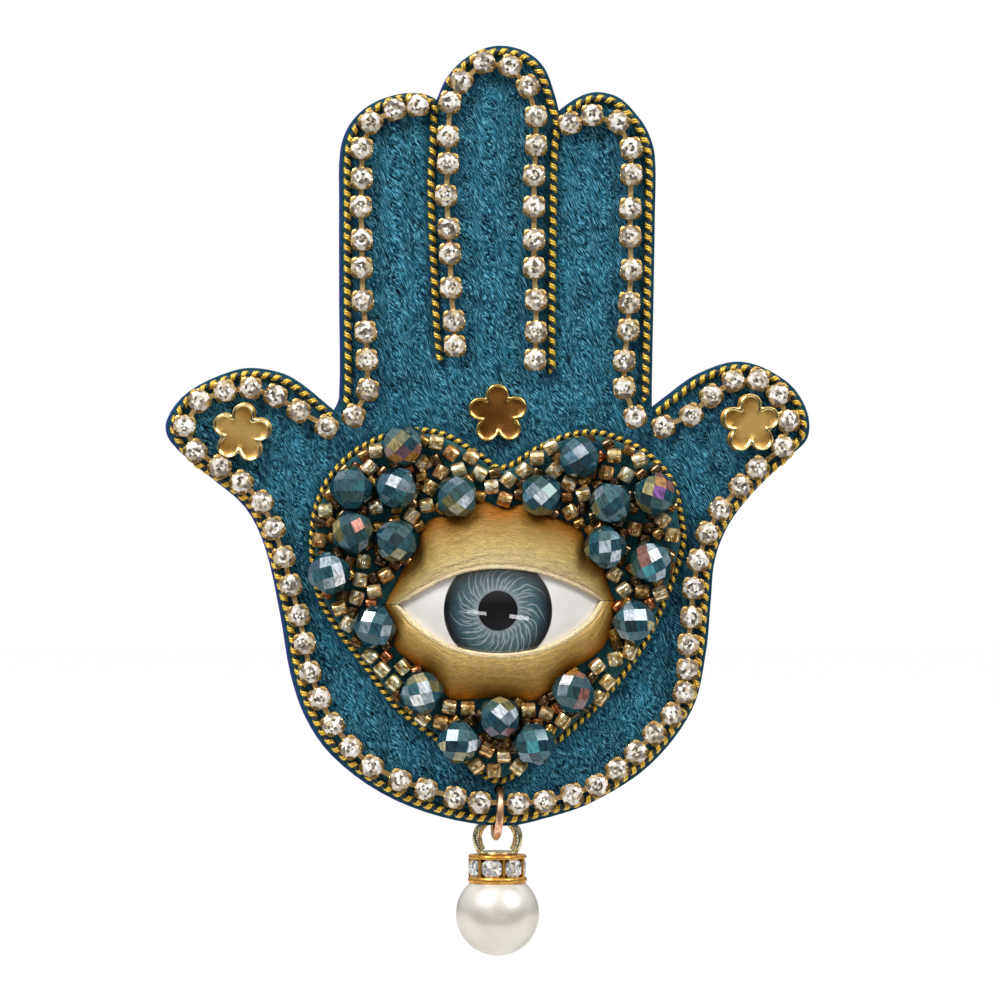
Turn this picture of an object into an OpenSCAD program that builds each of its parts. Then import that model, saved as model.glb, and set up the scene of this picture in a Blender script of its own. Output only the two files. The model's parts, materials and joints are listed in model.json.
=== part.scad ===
// Beaded hamsa: a padded velvet hand with a heart of crystal beads, an eye and a pearl drop.
// It is worn as a brooch, so its back carries a bar pin with a turning safety catch.
// Sizes are in millimetres. The part stands in the XZ plane and its front faces -Y.
// The origin is the middle of the pin stem, on its axis.

/* [Hand] */
// Width of the hand across both thumbs
hand_w = 60.1; // [50:0.1:75]
// Thickness of the felt back cover
back_t = 0.5; // [0.4:0.05:0.7]
// Thickness of the stiffening core
core_t = 0.6; // [0.4:0.05:0.8]
// Thickness of the velvet face with its wadding
velvet_t = 0.7; // [0.6:0.05:0.9]
// Width of the rounding along the velvet edge
edge_round = 0.45; // [0.2:0.05:0.6]
// Outer diameter of the twisted cord along the edge
cord_d = 0.72; // [0.5:0.02:0.9]
// Distance of that cord from the edge of the hand
cord_inset = 0.62; // [0.5:0.02:0.8]

/* [Cup chain] */
// Width of one square cup
cup_w = 1.88; // [1.6:0.02:2.2]
// Height of a cup from its floor to the tips of its prongs
cup_h = 0.85; // [0.75:0.05:1.2]
// Thickness of the floor of a cup
cup_floor = 0.2; // [0.15:0.05:0.3]
// Diameter of the foot under a cup
cup_foot_d = 0.8; // [0.6:0.05:0.9]
// Width of the gap between two prongs of a cup
prong_gap = 0.9; // [0.6:0.05:1.1]
// Diameter of a chain stone
stone_d = 1.58; // [1.3:0.02:1.64]
// Width of the bar that links two cups
link_w = 0.4; // [0.25:0.05:0.6]

/* [Heart] */
// Thickness of the felt heart under the beads
heart_t = 0.65; // [0.6:0.05:1]
// Diameter of the fine cord round the heart
heart_cord_d = 0.52; // [0.4:0.02:0.56]
// Diameter of a faceted crystal bead across its girdle
crystal_d = 4; // [3.2:0.1:4.6]
// Length of a crystal bead along its thread
crystal_l = 3.5; // [2.8:0.1:4]
// Bore of a crystal bead
crystal_bore = 0.8; // [0.5:0.1:1.2]
// Outer diameter of a seed bead
seed_d = 1.45; // [1.1:0.05:1.7]
// Length of a seed bead
seed_l = 1.4; // [1:0.05:1.7]
// Bore of a seed bead
seed_bore = 0.6; // [0.4:0.05:0.8]

/* [Flower beads] */
// Width of a flower bead across its petals
flower_d = 5.7; // [4.5:0.1:6.2]
// Thickness of a flower bead
flower_t = 1.3; // [0.8:0.1:2]
// Tilt of the right flower bead
flower_tilt = 12; // [0:1:16]

/* [Eye] */
// Height of the glass eye at its middle, above the heart
eye_h = 4.2; // [4:0.1:5]
// Radius of the dome of the eye
eye_r = 16; // [15:0.5:20]
// Diameter of the iris
iris_d = 10; // [8:0.1:11]
// Diameter of the pupil
pupil_d = 3.6; // [2:0.1:5]
// Thickness of the iris disc
iris_t = 0.8; // [0.4:0.1:1]
// Depth of glass over the rim of the iris
glass_t = 0.1; // [0.05:0.05:0.3]
// Thickness of the leather lid at its rim
lid_t = 0.6; // [0.4:0.05:0.9]
// Thickness of the leather lid at its outer edge
lid_edge_t = 0.35; // [0.25:0.05:0.6]
// Width of lid that laps over the eye
lid_lap = 0.6; // [0.4:0.05:0.8]

/* [Drop] */
// Mean diameter of the jump ring
ring_d = 4.6; // [4.5:0.02:4.9]
// Wire of the jump ring
ring_wire = 0.66; // [0.5:0.02:0.7]
// Hole in the hand for the jump ring
ring_hole = 1.5; // [1.2:0.05:1.8]
// Mean diameter of the loop that the drop hangs by
loop_d = 3.8; // [3.4:0.05:4.2]
// Wire of that loop
loop_wire = 0.9; // [0.6:0.02:0.94]
// Width of the crystal rondelle
rondelle_d = 5.5; // [5:0.1:7]
// Height of the crystal rondelle
rondelle_h = 2.75; // [2.4:0.05:3.5]
// Number of crystals in the rondelle
rondelle_n = 7; // [5:1:8]
// Diameter of the pearl
pearl_d = 7.84; // [6.5:0.1:9]
// Wire that joins the loop and the pearl
shank_d = 0.8; // [0.6:0.05:1]

/* [Brooch pin] */
// Length of the bar
bar_l = 30; // [28:0.5:36]
// Width of the bar
bar_w = 4.6; // [4.4:0.1:6]
// Thickness of the bar
bar_t = 0.6; // [0.4:0.05:1]
// Height of the pin axis over the bar
pin_lift = 2.1; // [2:0.05:3]
// Diameter of the pin stem
stem_d = 0.8; // [0.6:0.05:0.9]
// Length of the straight part of the stem
stem_l = 20; // [16:0.5:20]
// Diameter of the hinge rivet
rivet_d = 1; // [0.8:0.05:1.1]
// Outer diameter of the catch housing
catch_d = 3.7; // [3.6:0.05:4]
// Outer diameter of the turning part of the catch
rotor_d = 2.4; // [2.2:0.05:2.6]
// Width of the slot that the stem enters
catch_slot = 1.1; // [1:0.05:1.2]
// Diameter of a sewing hole in the bar
sew_hole = 1.4; // [1:0.1:2]

/* [Hidden] */
// Places are measured on the front view in pixels, from the top left corner.
photo_hand_w = 641.5;
photo_origin = [495, 440];
mm_px = hand_w / photo_hand_w;
function at(p) = [(p.x - photo_origin.x) * mm_px, (photo_origin.y - p.y) * mm_px];
function all_at(list) = [for (p = list) at(p)];

// Running gap, seat gap and overrun that every fit shares
run_gap = 0.05;
seat = 0.05;
over = 1;

// Levels from the pin axis towards the viewer
z_back = pin_lift + bar_t;
z_core = z_back + back_t;
z_velvet = z_core + core_t;
z_front = z_velvet + velvet_t;
z_mid = (z_back + z_front) / 2;
z_heart = z_front + heart_t;

// Edge of the hand, clockwise, one list for each stretch between two notches
index_px = [[335, 411], [341, 396], [341, 300], [341, 200], [342, 150], [351, 124], [371, 104],
    [401, 93.5], [425, 94], [438, 100]];
middle_px = [[438, 100], [449, 76], [470, 55], [497, 45.5], [525, 51], [544, 67], [555, 95], [559, 111]];
ring_px = [[559, 111], [572, 101], [585, 94], [601, 92], [620, 98], [636, 113.5], [648, 131.5], [655, 156],
    [655, 215], [653.5, 307], [652, 385], [652, 408]];
palm_px = [[652, 408], [666, 397], [700, 373], [741, 361.5], [785, 380], [806, 408], [808, 437],
    [789, 457], [751, 495], [728, 526], [715, 560], [711, 600], [706, 653], [692, 710], [650, 765],
    [593, 802], [547, 818], [505, 826], [443, 817], [383, 793], [333, 755], [307, 717], [292, 673],
    [282, 615], [267, 548], [247, 507], [210, 475], [172, 441], [168, 420], [190, 391], [235, 370],
    [263, 368.7], [293, 378], [335, 411]];
// Cords that part the fingers
left_part_px = [[434, 104], [433, 145], [431, 180], [432, 226], [434, 270], [437, 330], [440, 360]];
right_part_px = [[557, 124], [554, 160], [553, 220], [552, 307], [552, 372]];
// Cord round the heart, clockwise from the cleft
heart_px = [[501, 468], [535, 450], [560, 438], [590, 432], [615, 437], [645, 452], [671, 480],
    [681, 516], [683, 545], [664, 602], [642, 647], [604, 698], [561, 738], [528, 763], [499, 781],
    [468, 762], [435, 737], [397, 707], [365, 665], [335, 625], [318, 592], [312, 545], [317, 505],
    [334, 472], [362, 447], [400, 432], [440, 433], [480, 455]];

// Stones of the cup chain, run by run
index_stones_px = [[418, 106], [395, 110], [371, 123], [362, 149], [362, 179], [361, 207], [362, 240],
    [362, 268], [363, 301], [366, 332], [367, 360], [368, 390], [354, 416]];
middle_stones_px = [[455, 346], [454, 321], [451, 288], [450, 254], [449, 229], [446, 196], [448, 164],
    [448, 137], [450, 103], [461, 82], [484, 63], [510, 67], [528, 87], [536, 117], [536, 146],
    [534, 176], [534, 207], [534, 240], [534, 268], [536, 300], [536, 332], [535, 360]];
ring_stones_px = [[570, 124], [592, 116], [618, 123], [631, 149], [631, 175], [630, 209], [630, 237],
    [631, 270], [629, 303], [628, 330], [624, 361], [624, 388], [635, 417]];
palm_stones_px = [[663, 427], [691, 415], [711, 396], [733, 381], [758, 380], [778, 395], [788, 421],
    [783, 447], [757, 468], [740, 486], [720, 509], [707, 533], [698, 560], [693, 588], [691, 617],
    [688, 644], [687, 669], [684, 692], [672, 714], [654, 733], [636, 752], [617, 769], [597, 785],
    [572, 794], [545, 801], [515, 803], [481, 802], [455, 797], [426, 789], [400, 780], [372, 766],
    [351, 747], [333, 724], [320, 698], [310, 672], [305, 643], [299, 615], [291, 585], [284, 557],
    [274, 528], [262, 502], [242, 482], [220, 467], [196, 451], [185, 426], [200, 401], [225, 391],
    [251, 388], [276, 396], [299, 411], [327, 427]];

// Middles of the flower beads, and the way that one petal of each points
flower_px = [[243, 432], [498, 414], [746, 426]];
flower_turn = [88, 92, 100];

// Crystal beads, with the way that each thread runs, in degrees
crystal_px = [[403, 447], [352, 490], [397, 487], [353, 530], [397, 541], [330, 573], [457, 497],
    [541, 495], [579, 457], [610, 503], [655, 494], [605, 547], [650, 562], [375, 626], [634, 621],
    [422, 691], [573, 691], [500, 717], [459, 741], [534, 743]];
crystal_turn = [5, 40, 20, 70, 10, 60, 0, 0, -10, 80, -60, 50, 70, 30, -40, -30, 30, 0, 40, -35];

// Seed beads, each with the way that its thread runs, in degrees
seed_px = [[376, 452, 5], [370, 467, 50], [436, 444, -10], [451, 453, -35], [466, 463, -35],
    [480, 474, -30], [425, 466, 70], [442, 470, 60], [457, 474, 20], [493, 488, 5], [430, 488, 60],
    [427, 505, 10], [412, 516, 60], [326, 511, 0], [325, 543, 80], [364, 561, 85], [386, 575, 30],
    [361, 581, 80], [374, 591, 10], [357, 597, 70], [340, 608, 20], [510, 479, 50], [523, 471, 50],
    [536, 459, 0], [551, 447, 30], [553, 473, -40], [503, 499, -20], [569, 484, -20], [583, 494, 20],
    [614, 456, 0], [639, 460, 20], [606, 473, 80], [626, 475, 60], [570, 512, -60], [637, 518, 60],
    [643, 533, 85], [623, 526, 60], [663, 520, 50], [671, 533, 80], [615, 576, 60], [625, 588, 40],
    [641, 591, 0], [658, 593, 20], [349, 624, 60], [371, 656, -45], [382, 669, -45], [394, 682, -45],
    [403, 667, -50], [430, 716, -40], [446, 716, -10], [450, 706, -10], [468, 707, 0], [488, 750, -25],
    [503, 757, 0], [492, 768, 90], [613, 652, 60], [627, 652, 70], [597, 666, 40], [615, 668, 60],
    [607, 682, 50], [597, 693, 60], [530, 706, 0], [545, 713, -20], [562, 720, 60], [407, 466, 0],
    [376, 507, 10], [340, 552, 60], [630, 545, 80], [480, 766, 40], [517, 766, -40]];

// Opening between the lids and outer edge of each lid, left to right
eye_px = [498.5, 608];
iris_px = [498, 610];
lid_split = 0.6;
upper_rim_px = [[398, 604], [410, 597], [425, 588], [445, 578], [470, 570], [496, 567], [525, 569],
    [550, 575], [575, 585], [590, 593], [601, 600]];
lower_rim_px = [[398, 604], [410, 617], [425, 630], [445, 642], [470, 650], [499, 653], [530, 650],
    [555, 642], [577, 629], [592, 615], [601, 600]];
upper_edge_px = [[385, 604], [393, 589], [404, 568], [417, 550], [422, 530], [434, 517], [457, 515],
    [480, 501], [503, 508], [522, 504], [541, 514], [562, 520], [582, 531], [587, 552], [603, 568],
    [609, 588], [614, 600]];
lower_edge_px = [[385, 604], [396, 626], [394, 645], [412, 662], [436, 677], [448, 697], [470, 699],
    [490, 697], [512, 698], [535, 700], [551, 689], [566, 670], [586, 661], [604, 645], [613, 620],
    [614, 600]];

// Hole for the jump ring, and levels of the drop
hole_px = [497.5, 788];
loop_mid_px = 839;
loop_foot_px = 852;
rondelle_top_px = 853.5;
pearl_px = 912;

// Points along a smooth curve through a list, n steps from each point to the next.
// The curve leaves each point along the line between its neighbours, as fast as the step is long.
function unit(v) = norm(v) == 0 ? v : v / norm(v);
function bend(a, b, c, d, t) = let (s = norm(c - b), from = unit(c - a) * s, to = unit(d - b) * s)
    b + from * t + (3 * (c - b) - 2 * from - to) * t * t + (2 * (b - c) + from + to) * t * t * t;
function curve(p, n) = [for (i = [0 : len(p) - 2], s = [0 : n - 1])
    bend(p[max(i - 1, 0)], p[i], p[i + 1], p[min(i + 2, len(p) - 1)], s / n), p[len(p) - 1]];
function loop(p, n) = let (m = len(p)) [for (i = [0 : m - 1], s = [0 : n - 1])
    bend(p[(i + m - 1) % m], p[i], p[(i + 1) % m], p[(i + 2) % m], s / n)];
function part_of(p, from, to) = [for (i = [from : to]) p[i]];
function right_of(v) = [v.y, -v.x];
function inset(p, d) = [for (i = [0 : len(p) - 1])
    p[i] + d * right_of(unit(p[min(i + 1, len(p) - 1)] - p[max(i - 1, 0)]))];
function loop_inset(p, d) = let (m = len(p)) [for (i = [0 : m - 1])
    p[i] + d * right_of(unit(p[(i + 1) % m] - p[(i + m - 1) % m]))];
function angle_of(v) = atan2(v.y, v.x);
// Point at a share of the number of steps of a curve
function along(p, share) = let (u = share * (len(p) - 1), i = min(floor(u), len(p) - 2))
    p[i] + (p[i + 1] - p[i]) * (u - i);

// Smooth stretches of the edge of the hand and the closed edge
edge_steps = 3;
index_edge = curve(all_at(index_px), edge_steps);
middle_edge = curve(all_at(middle_px), edge_steps);
ring_edge = curve(all_at(ring_px), edge_steps);
palm_edge = curve(all_at(palm_px), edge_steps);
function but_last(p) = part_of(p, 0, len(p) - 2);
hand_edge = concat(but_last(index_edge), but_last(middle_edge), but_last(ring_edge), but_last(palm_edge));
heart_steps = 3;
heart_edge = loop(all_at(heart_px), heart_steps);

// Where the chain comes close, its cups overhang the cord and the cord gives way to their feet
cord_ease = 0.2;
cord_clear = (cup_foot_d + cord_d) / 2 + cord_ease;
function on_link(p, a, b) = a + (b - a) * max(0, min(1, (p - a) * (b - a) / pow(norm(b - a), 2)));
function nearest(p, list) = let (d = [for (q = list) norm(p - q)]) list[search(min(d), d)[0]];
function give_way(path, run) = [for (p = path)
    let (q = nearest(p, [for (i = [1 : len(run) - 1]) on_link(p, run[i - 1], run[i])]))
    norm(p - q) < cord_clear ? q + unit(p - q) * cord_clear : p];

// Routes of the cords, which stop short of each other at the notches
finger_skip = 2;
palm_skip = 1;
function trimmed(p, a, b) = part_of(p, a, len(p) - 1 - b);
function cord_route(edge, skip, run) = give_way(trimmed(inset(edge, cord_inset), skip, skip), run);
index_cord_path = concat(cord_route(index_edge, finger_skip, all_at(index_stones_px)),
    curve(all_at(left_part_px), edge_steps));
middle_cord_path = concat(cord_route(middle_edge, finger_skip, all_at(middle_stones_px)),
    curve(all_at(right_part_px), edge_steps));
ring_cord_path = cord_route(ring_edge, palm_skip, all_at(ring_stones_px));
palm_cord_path = cord_route(palm_edge, palm_skip, all_at(palm_stones_px));

// Beads that crowd one another are pushed apart a little, as a needle settles them
settle_rounds = 14;
crystal_pitch = crystal_d + run_gap;
function push(p, q, need) = let (d = norm(p - q)) d >= need || d == 0 ? [0, 0] : (p - q) / d * (need - d) / 2;
function total(v, i = 0, sum = [0, 0]) = i >= len(v) ? sum : total(v, i + 1, sum + v[i]);
function settle(p, need, n) = n == 0 ? p
    : settle([for (a = p) a + total([for (b = p) push(a, b, need)])], need, n - 1);
crystals = settle(all_at(crystal_px), crystal_pitch, settle_rounds);

// Seed beads settle between the crystals, and one that finds no room is left out
seed_pitch_share = 0.84;
seed_crowd_share = 0.94;
seed_gap = 0.1;
seed_pitch = norm([seed_d, seed_l]) * seed_pitch_share;
seed_crystal_pitch = sqrt(pow(crystal_d / 2 + seed_d / 2 + seed_gap, 2) - pow((crystal_d - seed_d) / 2, 2));
lid_clear = seed_d / 2 + seed_gap;
function settle_seeds(p, n) = n == 0 ? p
    : settle_seeds([for (a = p) a + total([for (b = p) push(a, b, seed_pitch)])
        + 2 * total([for (c = crystals) push(a, c, seed_crystal_pitch)])
        + 2 * total([for (e = lid_edges) push(a, e, lid_clear)])], n - 1);
function near(p, list, need) = min([for (q = list) norm(p - q)]) < need;
function crowded(p, i) = near(p, crystals, seed_crystal_pitch - run_gap)
    || near(p, lid_edges, lid_clear - run_gap)
    || (i > 0 && near(p, part_of(settled_seeds, 0, i - 1), seed_pitch * seed_crowd_share));

// Edges of the two lids, which stop just short of each other at the corners
upper_rim = curve(all_at(upper_rim_px), edge_steps);
upper_edge = curve(all_at(upper_edge_px), edge_steps);
lower_drop = [0, -lid_split * mm_px];
lower_rim = [for (p = curve(all_at(lower_rim_px), edge_steps)) p + lower_drop];
lower_edge = [for (p = curve(all_at(lower_edge_px), edge_steps)) p + lower_drop];
lid_edges = concat(upper_edge, lower_edge);
settled_seeds = settle_seeds([for (s = seed_px) at(s)], settle_rounds);
kept_seeds = [for (i = [0 : len(seed_px) - 1]) if (!crowded(settled_seeds[i], i)) i];

// Dome of the eye: its height over the heart at a place
eye_at = at(eye_px);
iris_at = at(iris_px);
function dome(p) = eye_h - eye_r + sqrt(pow(eye_r, 2) - pow(norm(p - eye_at), 2));
iris_top = dome(eye_at + [iris_d / 2, 0]) - glass_t;
iris_floor = iris_top - iris_t;

// A cup stands over the cord on its foot, and its corners are cut to a circle.
// Its stone has a seat, a girdle, a crown and a table.
cup_rise = cord_d + 2 * seat;
cup_corner_share = 1.24;
stone_seat_share = 0.17;
stone_crown_share = 0.22;
stone_table_share = 0.55;
stone_girdle = cup_floor + stone_d * stone_seat_share;
stone_top = stone_girdle + stone_d * stone_crown_share;

// Petals of a flower bead: radius, rolled rim round the flat face, and waist of the side
petal_share = 0.385;
petal_rim = 0.32;
petal_waist = 0.22;
lip_share = 0.3;
crown_share = 0.6;
face_share = 0.87;
tilt_shares = [0.5, 0.8];

// A crystal bead at five places along its thread: place, radius and turn of its corners
crystal_fold = 8;
crystal_shares = [[-1, 0.5, 0], [-0.55, 0.88, 0.5], [0, 1, 0], [0.55, 0.88, 0.5], [1, 0.5, 0]];
seed_edge_share = 0.16;

// A lid swells towards its rim, which is rolled under and laps over the glass
lid_sections = 34;
lid_steps = 9;
lid_swell = 0.85;
lid_roll = 0.12;
lap_share = 0.6;

// Jump ring through the hole: it leans back until its front just clears the cord along the edge
ring_cut = 0.12;
ring_cut_turn = 24;
ring_r = ring_d / 2;
hole_at = at(hole_px);
cord_below = [min([for (p = palm_cord_path) p.y]) - hole_at.y, z_front + seat + cord_d / 2 - z_mid];
cord_reach = ring_r - ring_wire / 2 - cord_d / 2 - 2 * seat;
ring_lean = acos((pow(norm(cord_below), 2) + pow(ring_r, 2) - pow(cord_reach, 2)) / (2 * ring_r * norm(cord_below)))
    - atan2(cord_below.y, -cord_below.x);
ring_y = hole_at.y - ring_r * cos(ring_lean);
ring_z = z_mid - ring_r * sin(ring_lean);
loop_z = z_back - seat - loop_wire / 2;
loop_reach = ring_r - ring_wire / 2 - loop_wire / 2 - seat;
loop_top_y = ring_y - sqrt(pow(loop_reach, 2) - pow(loop_z - ring_z, 2));
loop_y = loop_top_y - loop_d / 2;
foot_t = 0.3;
foot_r = loop_d / 2;
foot_y = loop_y - (loop_foot_px - loop_mid_px) * mm_px;
rondelle_y = foot_y - foot_t;
rim_t = 0.55;
stone_depth = 1;
waist_d = rondelle_d - 2 * stone_depth;
bead_wall = 0.4;
pearl_sink = 1.1;
pearl_y = rondelle_y - rondelle_h + pearl_sink - pearl_d / 2 - seat;

// Pin parts along the bar
hinge_x = -13;
ear_gap = 1.7;
ear_t = 0.5;
ear_r = 1;
collar_d = 1.3;
collar_end = -11;
point_l = 4;
catch_x = 10.1;
catch_l = 2;
lever_t = 0.5;
rivet_head_t = 0.3;
rivet_head_share = 1.5;
point_share = 0.2;
sew_shares = [-0.25, -0.08, 0.08, 0.25];

FABRIC = ["back_cover", "core_pad", "velvet_face", "heart_base"];
CORDS = ["index_cord", "middle_cord", "ring_cord", "palm_cord", "heart_cord"];
CHAINS = ["index_chain", "middle_chain", "ring_chain", "palm_chain"];
STONES = ["index_stones", "middle_stones", "ring_stones", "palm_stones"];
FLOWERS = ["left_flower_bead", "centre_flower_bead", "right_flower_bead"];
EYE = ["eye_white", "iris_disc", "pupil_disc", "eye_glass", "upper_eyelid", "lower_eyelid"];
SEEDS = ["left_seed_beads", "right_seed_beads"];
CRYSTALS = [for (i = [1 : len(crystal_px)]) str("crystal_bead_", i)];
DROP = ["jump_ring", "drop_loop", "rondelle_frame", "rondelle_crystals", "pearl"];
PIN = ["pin_bar", "hinge_rivet", "pin_stem", "safety_catch"];

// Lifts a shape drawn face up on the bench into the hanging pose
module hang() {
    rotate([90, 0, 0])
        children();
}

// Tube along a path on the XY plane at one height
module tube(path, r, z, sides = 8) {
    n = len(path);
    rings = [for (i = [0 : n - 1])
        let (t = unit(path[min(i + 1, n - 1)] - path[max(i - 1, 0)]), side = right_of(t))
        for (k = [0 : sides - 1])
            let (a = 360 * (k + 0.5) / sides)
            [path[i].x + side.x * r * cos(a), path[i].y + side.y * r * cos(a), z + r * sin(a)]];
    walls = [for (i = [0 : n - 2], k = [0 : sides - 1])
        let (a = i * sides + k, b = i * sides + (k + 1) % sides) each [[a, b + sides, a + sides], [a, b, b + sides]]];
    first = [for (k = [sides - 1 : -1 : 0]) k];
    last = [for (k = [0 : sides - 1]) (n - 1) * sides + k];
    polyhedron(points = rings, faces = concat(walls, [first], [last]));
}

// Closed tube round a loop on the XY plane
module ring_tube(path, r, z, sides = 8) {
    n = len(path);
    rings = [for (i = [0 : n - 1])
        let (t = unit(path[(i + 1) % n] - path[(i + n - 1) % n]), side = right_of(t))
        for (k = [0 : sides - 1])
            let (a = 360 * (k + 0.5) / sides)
            [path[i].x + side.x * r * cos(a), path[i].y + side.y * r * cos(a), z + r * sin(a)]];
    walls = [for (i = [0 : n - 1], k = [0 : sides - 1])
        let (j = (i + 1) % n, a = i * sides + k, b = i * sides + (k + 1) % sides,
            c = j * sides + k, d = j * sides + (k + 1) % sides) each [[a, d, c], [a, b, d]]];
    polyhedron(points = rings, faces = walls);
}

// Flat layer of the hand with the hole for the jump ring
module hand_layer(z, t) {
    hang()
        difference() {
            translate([0, 0, z])
                linear_extrude(t)
                    polygon(hand_edge);
            ring_hole_cut();
        }
}

module ring_hole_cut() {
    translate([hole_at.x, hole_at.y, z_back - over])
        cylinder(h = z_front - z_back + 2 * over, d = ring_hole, $fn = 32);
}

module back_cover() {
    color("darkslateblue")
        hand_layer(z_back, back_t);
}

module core_pad() {
    color("lightgray")
        hand_layer(z_core, core_t);
}

// Velvet face: its front edge rolls over in small steps along a quarter circle
module velvet_face() {
    color("teal")
        hang()
            difference() {
                translate([0, 0, z_velvet])
                    for (a = [0, 30, 60, 90])
                        linear_extrude(velvet_t - edge_round * (1 - sin(a)))
                            polygon(loop_inset(hand_edge, edge_round * (1 - cos(a))));
                ring_hole_cut();
            }
}

module edge_cord(path) {
    color("goldenrod")
        hang()
            tube(path, cord_d / 2, z_front + seat + cord_d / 2);
}

module heart_cord() {
    color("goldenrod")
        hang()
            ring_tube(heart_edge, heart_cord_d / 2, z_front + seat + heart_cord_d / 2, 6);
}

// Felt heart that carries the beads, inside its cord
module heart_base() {
    color("midnightblue")
        hang()
            translate([0, 0, z_front])
                linear_extrude(heart_t)
                    polygon(loop_inset(heart_edge, heart_cord_d / 2 + seat));
}

// Square cup on a round foot, with a round seat for its stone and a prong on each corner
module cup() {
    cylinder(h = cup_rise + cup_floor / 2, d = cup_foot_d, $fn = 24);
    translate([0, 0, cup_rise])
        difference() {
            intersection() {
                translate([-cup_w / 2, -cup_w / 2, 0])
                    cube([cup_w, cup_w, cup_h]);
                cylinder(h = cup_h, d = cup_w * cup_corner_share, $fn = 32);
            }
            translate([0, 0, cup_floor])
                cylinder(h = cup_h, d = stone_d + 2 * run_gap, $fn = 32);
            for (turn = [0, 90])
                rotate(turn)
                    translate([-cup_w, -prong_gap / 2, stone_girdle])
                        cube([2 * cup_w, prong_gap, cup_h]);
        }
}

// Faceted stone: flat seat, girdle, crown and table
module stone() {
    translate([0, 0, cup_floor])
        cylinder(h = stone_girdle - cup_floor, d = stone_d, $fn = 32);
    translate([0, 0, stone_girdle])
        cylinder(h = stone_top - stone_girdle, d1 = stone_d, d2 = stone_d * stone_table_share, $fn = 32);
}

function run_angle(run, i) = angle_of(run[min(i + 1, len(run) - 1)] - run[max(i - 1, 0)]);

module cup_run(run) {
    color("burlywood")
        hang()
            translate([0, 0, z_front])
                for (i = [0 : len(run) - 1]) {
                    translate([run[i].x, run[i].y, 0])
                        rotate(run_angle(run, i))
                            cup();
                    if (i > 0)
                        link(run[i - 1], run[i]);
                }
}

// Bar that links the feet of two cups
module link(a, b) {
    translate([a.x, a.y, cup_rise / 2])
        rotate(angle_of(b - a))
            translate([0, -link_w / 2, 0])
                cube([norm(b - a), link_w, cup_floor / 2]);
}

module stone_run(run) {
    color("gainsboro")
        hang()
            translate([0, 0, z_front + cup_rise])
                for (p = run)
                    translate([p.x, p.y, 0])
                        stone();
}

// Slice of a flower bead: five round petals about a round middle, drawn in by a distance
module petals(h, drawn_in) {
    petal_r = flower_d / 2 * petal_share;
    petal_at = flower_d / 2 - petal_r;
    for (i = [0 : 4])
        rotate(i * 72)
            translate([petal_at, 0, 0])
                cylinder(h = h, r = petal_r - drawn_in, $fn = 32);
    cylinder(h = h, r = petal_at - drawn_in, $fn = 32);
}

// Flower bead: a lip at its back, a waist, and a crown whose flat face lies inside the rim
module flower(turn) {
    rotate(turn)
        difference() {
            union() {
                petals(flower_t * lip_share, 0);
                petals(flower_t, petal_waist);
                translate([0, 0, flower_t * crown_share])
                    petals(flower_t * (1 - crown_share), 0);
            }
            translate([0, 0, flower_t * face_share])
                petals(flower_t, petal_rim);
        }
}

module flower_bead(i) {
    place = at(flower_px[i]);
    tilt = i == 2 ? flower_tilt : 0;
    color("darkgoldenrod")
        hang()
            translate([place.x, place.y, z_front + seat + flower_d / 2 * sin(tilt)])
                rotate([tilt * tilt_shares[0], tilt * tilt_shares[1], 0])
                    flower(flower_turn[i]);
}

// Outline of the eye under the lids: the rim moved out by the lap
function lap_point(rim, edge, share, lap) = let (a = along(rim, share), b = along(edge, share))
    a + unit(b - a) * lap;
eye_lap = lid_lap - run_gap;
eye_outline = concat(
    [for (i = [0 : lid_sections]) lap_point(upper_rim, upper_edge, i / lid_sections, eye_lap)],
    [for (i = [lid_sections : -1 : 0]) lap_point(lower_rim, lower_edge, i / lid_sections, eye_lap)]);

// Block under the dome of the eye, between two levels over the heart
module eye_block(from, to) {
    translate([0, 0, z_heart])
        intersection() {
            translate([0, 0, from])
                linear_extrude(to - from)
                    polygon(eye_outline);
            translate([eye_at.x, eye_at.y, eye_h - eye_r])
                sphere(r = eye_r, $fn = 180);
        }
}

module iris_column(r, from, to) {
    translate([iris_at.x, iris_at.y, z_heart + from])
        cylinder(h = to - from, r = r, $fn = 64);
}

module eye_white() {
    color("whitesmoke")
        hang()
            difference() {
                eye_block(0, eye_h + over);
                iris_column(iris_d / 2 + run_gap, iris_floor, eye_h + over);
            }
}

module iris_disc() {
    color("slategray")
        hang()
            difference() {
                intersection() {
                    eye_block(iris_floor, iris_top);
                    iris_column(iris_d / 2, iris_floor, iris_top);
                }
                iris_column(pupil_d / 2 + run_gap, iris_floor - over, iris_top + over);
            }
}

module pupil_disc() {
    color("black")
        hang()
            iris_column(pupil_d / 2, iris_floor, iris_top);
}

module eye_glass() {
    color("lightcyan", 0.4)
        hang()
            intersection() {
                eye_block(iris_top, eye_h + over);
                iris_column(iris_d / 2, iris_top, eye_h + over);
            }
}

// Section of a lid: from its outer edge over a soft dome to the rolled rim and back underneath
function lid_section(rim, edge, share) =
    let (a = along(rim, share), b = along(edge, share), out = unit(b - a), w = norm(b - a),
        low = dome(a) + seat, top = low + lid_t,
        wall = min(lid_lap, w * lap_share))
    concat(
        [[b.x, b.y, 0]],
        [for (i = [0 : lid_steps])
            let (s = i / lid_steps, p = b + (a - b) * s)
            [p.x, p.y, lid_edge_t + (top - lid_edge_t) * pow(sin(90 * s), lid_swell)]],
        [[a.x - out.x * lid_roll, a.y - out.y * lid_roll, (low + top) / 2]],
        [[a.x, a.y, low], [a.x + out.x * wall, a.y + out.y * wall, low],
        [a.x + out.x * wall, a.y + out.y * wall, 0]]);

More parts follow.
